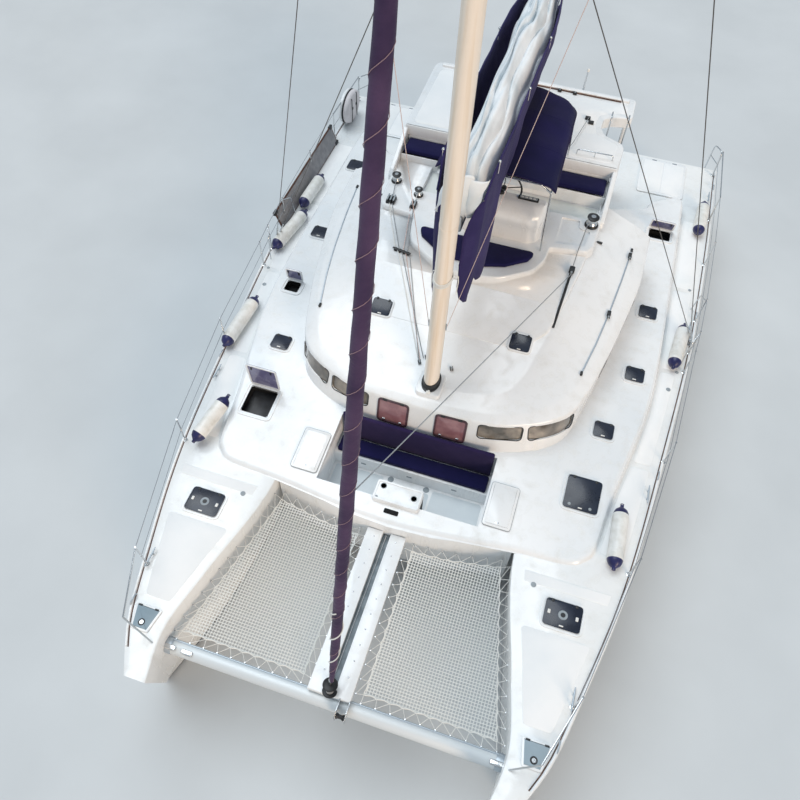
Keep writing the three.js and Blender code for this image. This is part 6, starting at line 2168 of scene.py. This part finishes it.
def bow_gear():
    """Bridle plate and rollers on the crossbeam, and its end caps."""
    form = Form()
    for x in (0.17, 0.31):
        cheek = rounded([(-7.30, 1.60), (-7.30, 1.72), (-7.20, 1.78), (-7.02, 1.76), (-7.02, 1.60)], 0.03)
        form.slab(cheek, x - 0.006, x + 0.006, 0.003, 0, upright)
    form.turned([(0.022, -0.062), (0.044, -0.05), (0.028, -0.02), (0.028, 0.02), (0.044, 0.05),
                 (0.022, 0.062)],
                (0.24, -7.24, 1.69), (1, 0, 0), 18, 1)
    form.turned([(0.008, -0.085), (0.008, 0.085)], (0.24, -7.24, 1.69), (1, 0, 0), 10, 0)
    # Shackles hanging below the plate
    for k in range(3):
        middle = Vector((0.24, -7.22, 1.58 - 0.048 * k))
        turn = math.pi / 2 * (k % 2)
        ring = [middle + Vector((math.cos(t) * 0.016 * math.cos(turn), math.cos(t) * 0.016 * math.sin(turn),
                                 math.sin(t) * 0.032))
                for t in turns(14, 2)]
        form.tube(ring, 0.006, 6, 0)
    for x in (-2.36, -2.1, 2.36):
        form.slab(box_outline(x - 0.09, CROSSBEAM_Y - 0.075, x + 0.09, CROSSBEAM_Y - 0.005, 0.03), 1.60,
                  1.652, 0.01, 0)
    # Track along the crossbeam for the net's lashing
    form.tube([(-2.42, CROSSBEAM_Y + 0.075, 1.612), (2.42, CROSSBEAM_Y + 0.075, 1.612)], 0.012, 8, 2, 0.7)
    for sign in (1, -1):
        form.turned([(0.112, -0.05), (0.118, -0.03), (0.118, 0.03), (0.112, 0.05)],
                    (sign * 2.40, CROSSBEAM_Y, 1.53), (1, 0, 0), 32, 2)
    # Bolts of the net's rail along the centre beam
    for k in range(10):
        y = -6.75 + k * 0.23
        for x in (-0.17, 0.18):
            form.turned([(0.011, 0), (0.011, 0.003), (0.006, 0.006)], (x, y, 1.76), ink=0, sides=10)
    form.piece("bow_fittings", ["steel", "black", "alloy"], slot="steel", smooth=45)
    # The chain channel's floor: grey, darkened with painted shade of the channel.
    floor = Form()
    floor.slab(box_outline(-0.05, CROSSBEAM_Y + 0.13, 0.06, BRIDGE_FRONT - 0.01, 0.01), 1.655, 1.672, 0.004,
               0)
    floor.tube([(-0.02, CROSSBEAM_Y + 0.2, 1.682), (-0.01, -5.8, 1.68), (0.0, BRIDGE_FRONT - 0.03, 1.682)],
               0.009, 8, 1)
    floor.piece("chain_channel", ["channel", "steel"], slot="black_plastic", smooth=40)


def cockpit_details():
    """Treads and fittings of the aft cockpit and the stern steps."""
    form = Form()
    low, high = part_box("cockpit_table")
    form.slab(box_outline(low.x + 0.03, low.y + 0.03, high.x - 0.03, high.y - 0.03, 0.06), high.z - 0.002,
              high.z + 0.004, 0.003, 1)
    form.collar(box_outline(low.x, low.y, high.x, high.y, 0.05),
                box_outline(low.x + 0.02, low.y + 0.02, high.x - 0.02, high.y - 0.02, 0.04),
                high.z - 0.004, high.z + 0.012, 2)
    form.slab(box_outline(-1.75, 2.20, 1.75, 5.2, 0.08), 1.25, 1.259, 0.003, 0)
    for _, sign in SIDES:
        for y, z, after in stern_treads(STERN_Y - 0.12):
            tread = box_outline(sign * 3.14 - 0.62, y + 0.04, sign * 3.14 + 0.62, after - 0.03, 0.03)
            form.slab(tread, z - 0.001, z + 0.003, 0.002, 0)
    form.piece("cockpit_treads", ["tread", "white", "wood"], slot="non_skid", smooth=40)


# Cushions

SUNPAD_OUTLINE = [(-1.02, 0.19), (-0.93, -0.02), (-0.60, -0.27), (-0.25, -0.38), (0.25, -0.38), (0.60, -0.27),
                  (0.93, -0.02), (1.02, 0.19)]


def cushions():
    for side, _ in SIDES:
        cushion("bench_seat_" + side, "bench_cushion_" + side, "navy")
    cushion("sunpad_cushion", "sunpad", "navy", rounded(SUNPAD_OUTLINE, 0.09))
    cushion("front_seat", "front_cushion", "navy")
    cushion("front_back", "front_backrest", "purple")
    cushion("cockpit_seat", "cockpit_cushion", "navy")


# Everything in place

def pale_floor():
    look = Look("pale_floor", "c9cdcf", 0.7)
    look.color(look.mix(look.ramp(look.noise(0.35, 4), 0.35, 0.7), "c6cacc", "ced2d4"))
    look.bump(look.noise(40, 3), 0.001, 0.3)
    sides, reach = 64, 170
    ring = [(math.cos(t) * reach, math.sin(t) * reach, WATER) for t in turns(sides)]
    mesh = bpy.data.meshes.new("floor")
    mesh.from_pydata(ring, [], [range(sides)])
    mesh.materials.append(look.material)
    ground = bpy.data.objects.new("floor", mesh)
    bpy.context.scene.collection.objects.link(ground)


# Solids whose own shape is right: node, material, edge rounding
DRESSED = [
    ("bridge_deck", "white", 0.02), ("aft_bulkhead", "white", 0.012), ("aft_glass", "glass", 0.003),
    ("saloon_door", "glass", 0.003), ("saloon_furniture", "white", 0.02),
    ("steering_wheel", "black", 0.003), ("bimini_frame", "steel", 0),
    ("cockpit_table", "white", 0.008), ("crossbeam", "beam", 0.006), ("centre_beam", "white", 0.012),
    ("guard_rail_port", "steel", 0), ("guard_rail_starboard", "steel", 0),
    ("propeller_port", "bronze", 0.002), ("propeller_starboard", "bronze", 0.002),
    ("engine_port", "iron", 0.02), ("engine_starboard", "iron", 0.02),
    ("rudder_port", "antifouling", 0.006), ("rudder_starboard", "antifouling", 0.006),
]
BODY_OF = {node: body for body, nodes in frame["record"]["behaviour"]["bodies"].items() for node in nodes}


def dressed_solids():
    for node, look, bevel in DRESSED:
        copied(node, look, BODY_OF[node], bevel)


studio()
pale_floor()
hulls()
raised_deck()
house()
saloon_glass()
window_seals()
nets()
furled_genoa()
spar()
standing_rigging()
boom()
sail_bag()
stowed_mainsail()
bimini()
fly_moulding()
fly_aft_deck()
fly_treads()
helm_console()
cushions()
hatch_lids()
deck_lids()
deck_treads()
toe_rails()
stanchion_bases()
roof_gear()
fly_rails()
fenders()
stern_gear()
rail_braces()
forward_cockpit()
bow_gear()
cockpit_details()
dressed_solids()
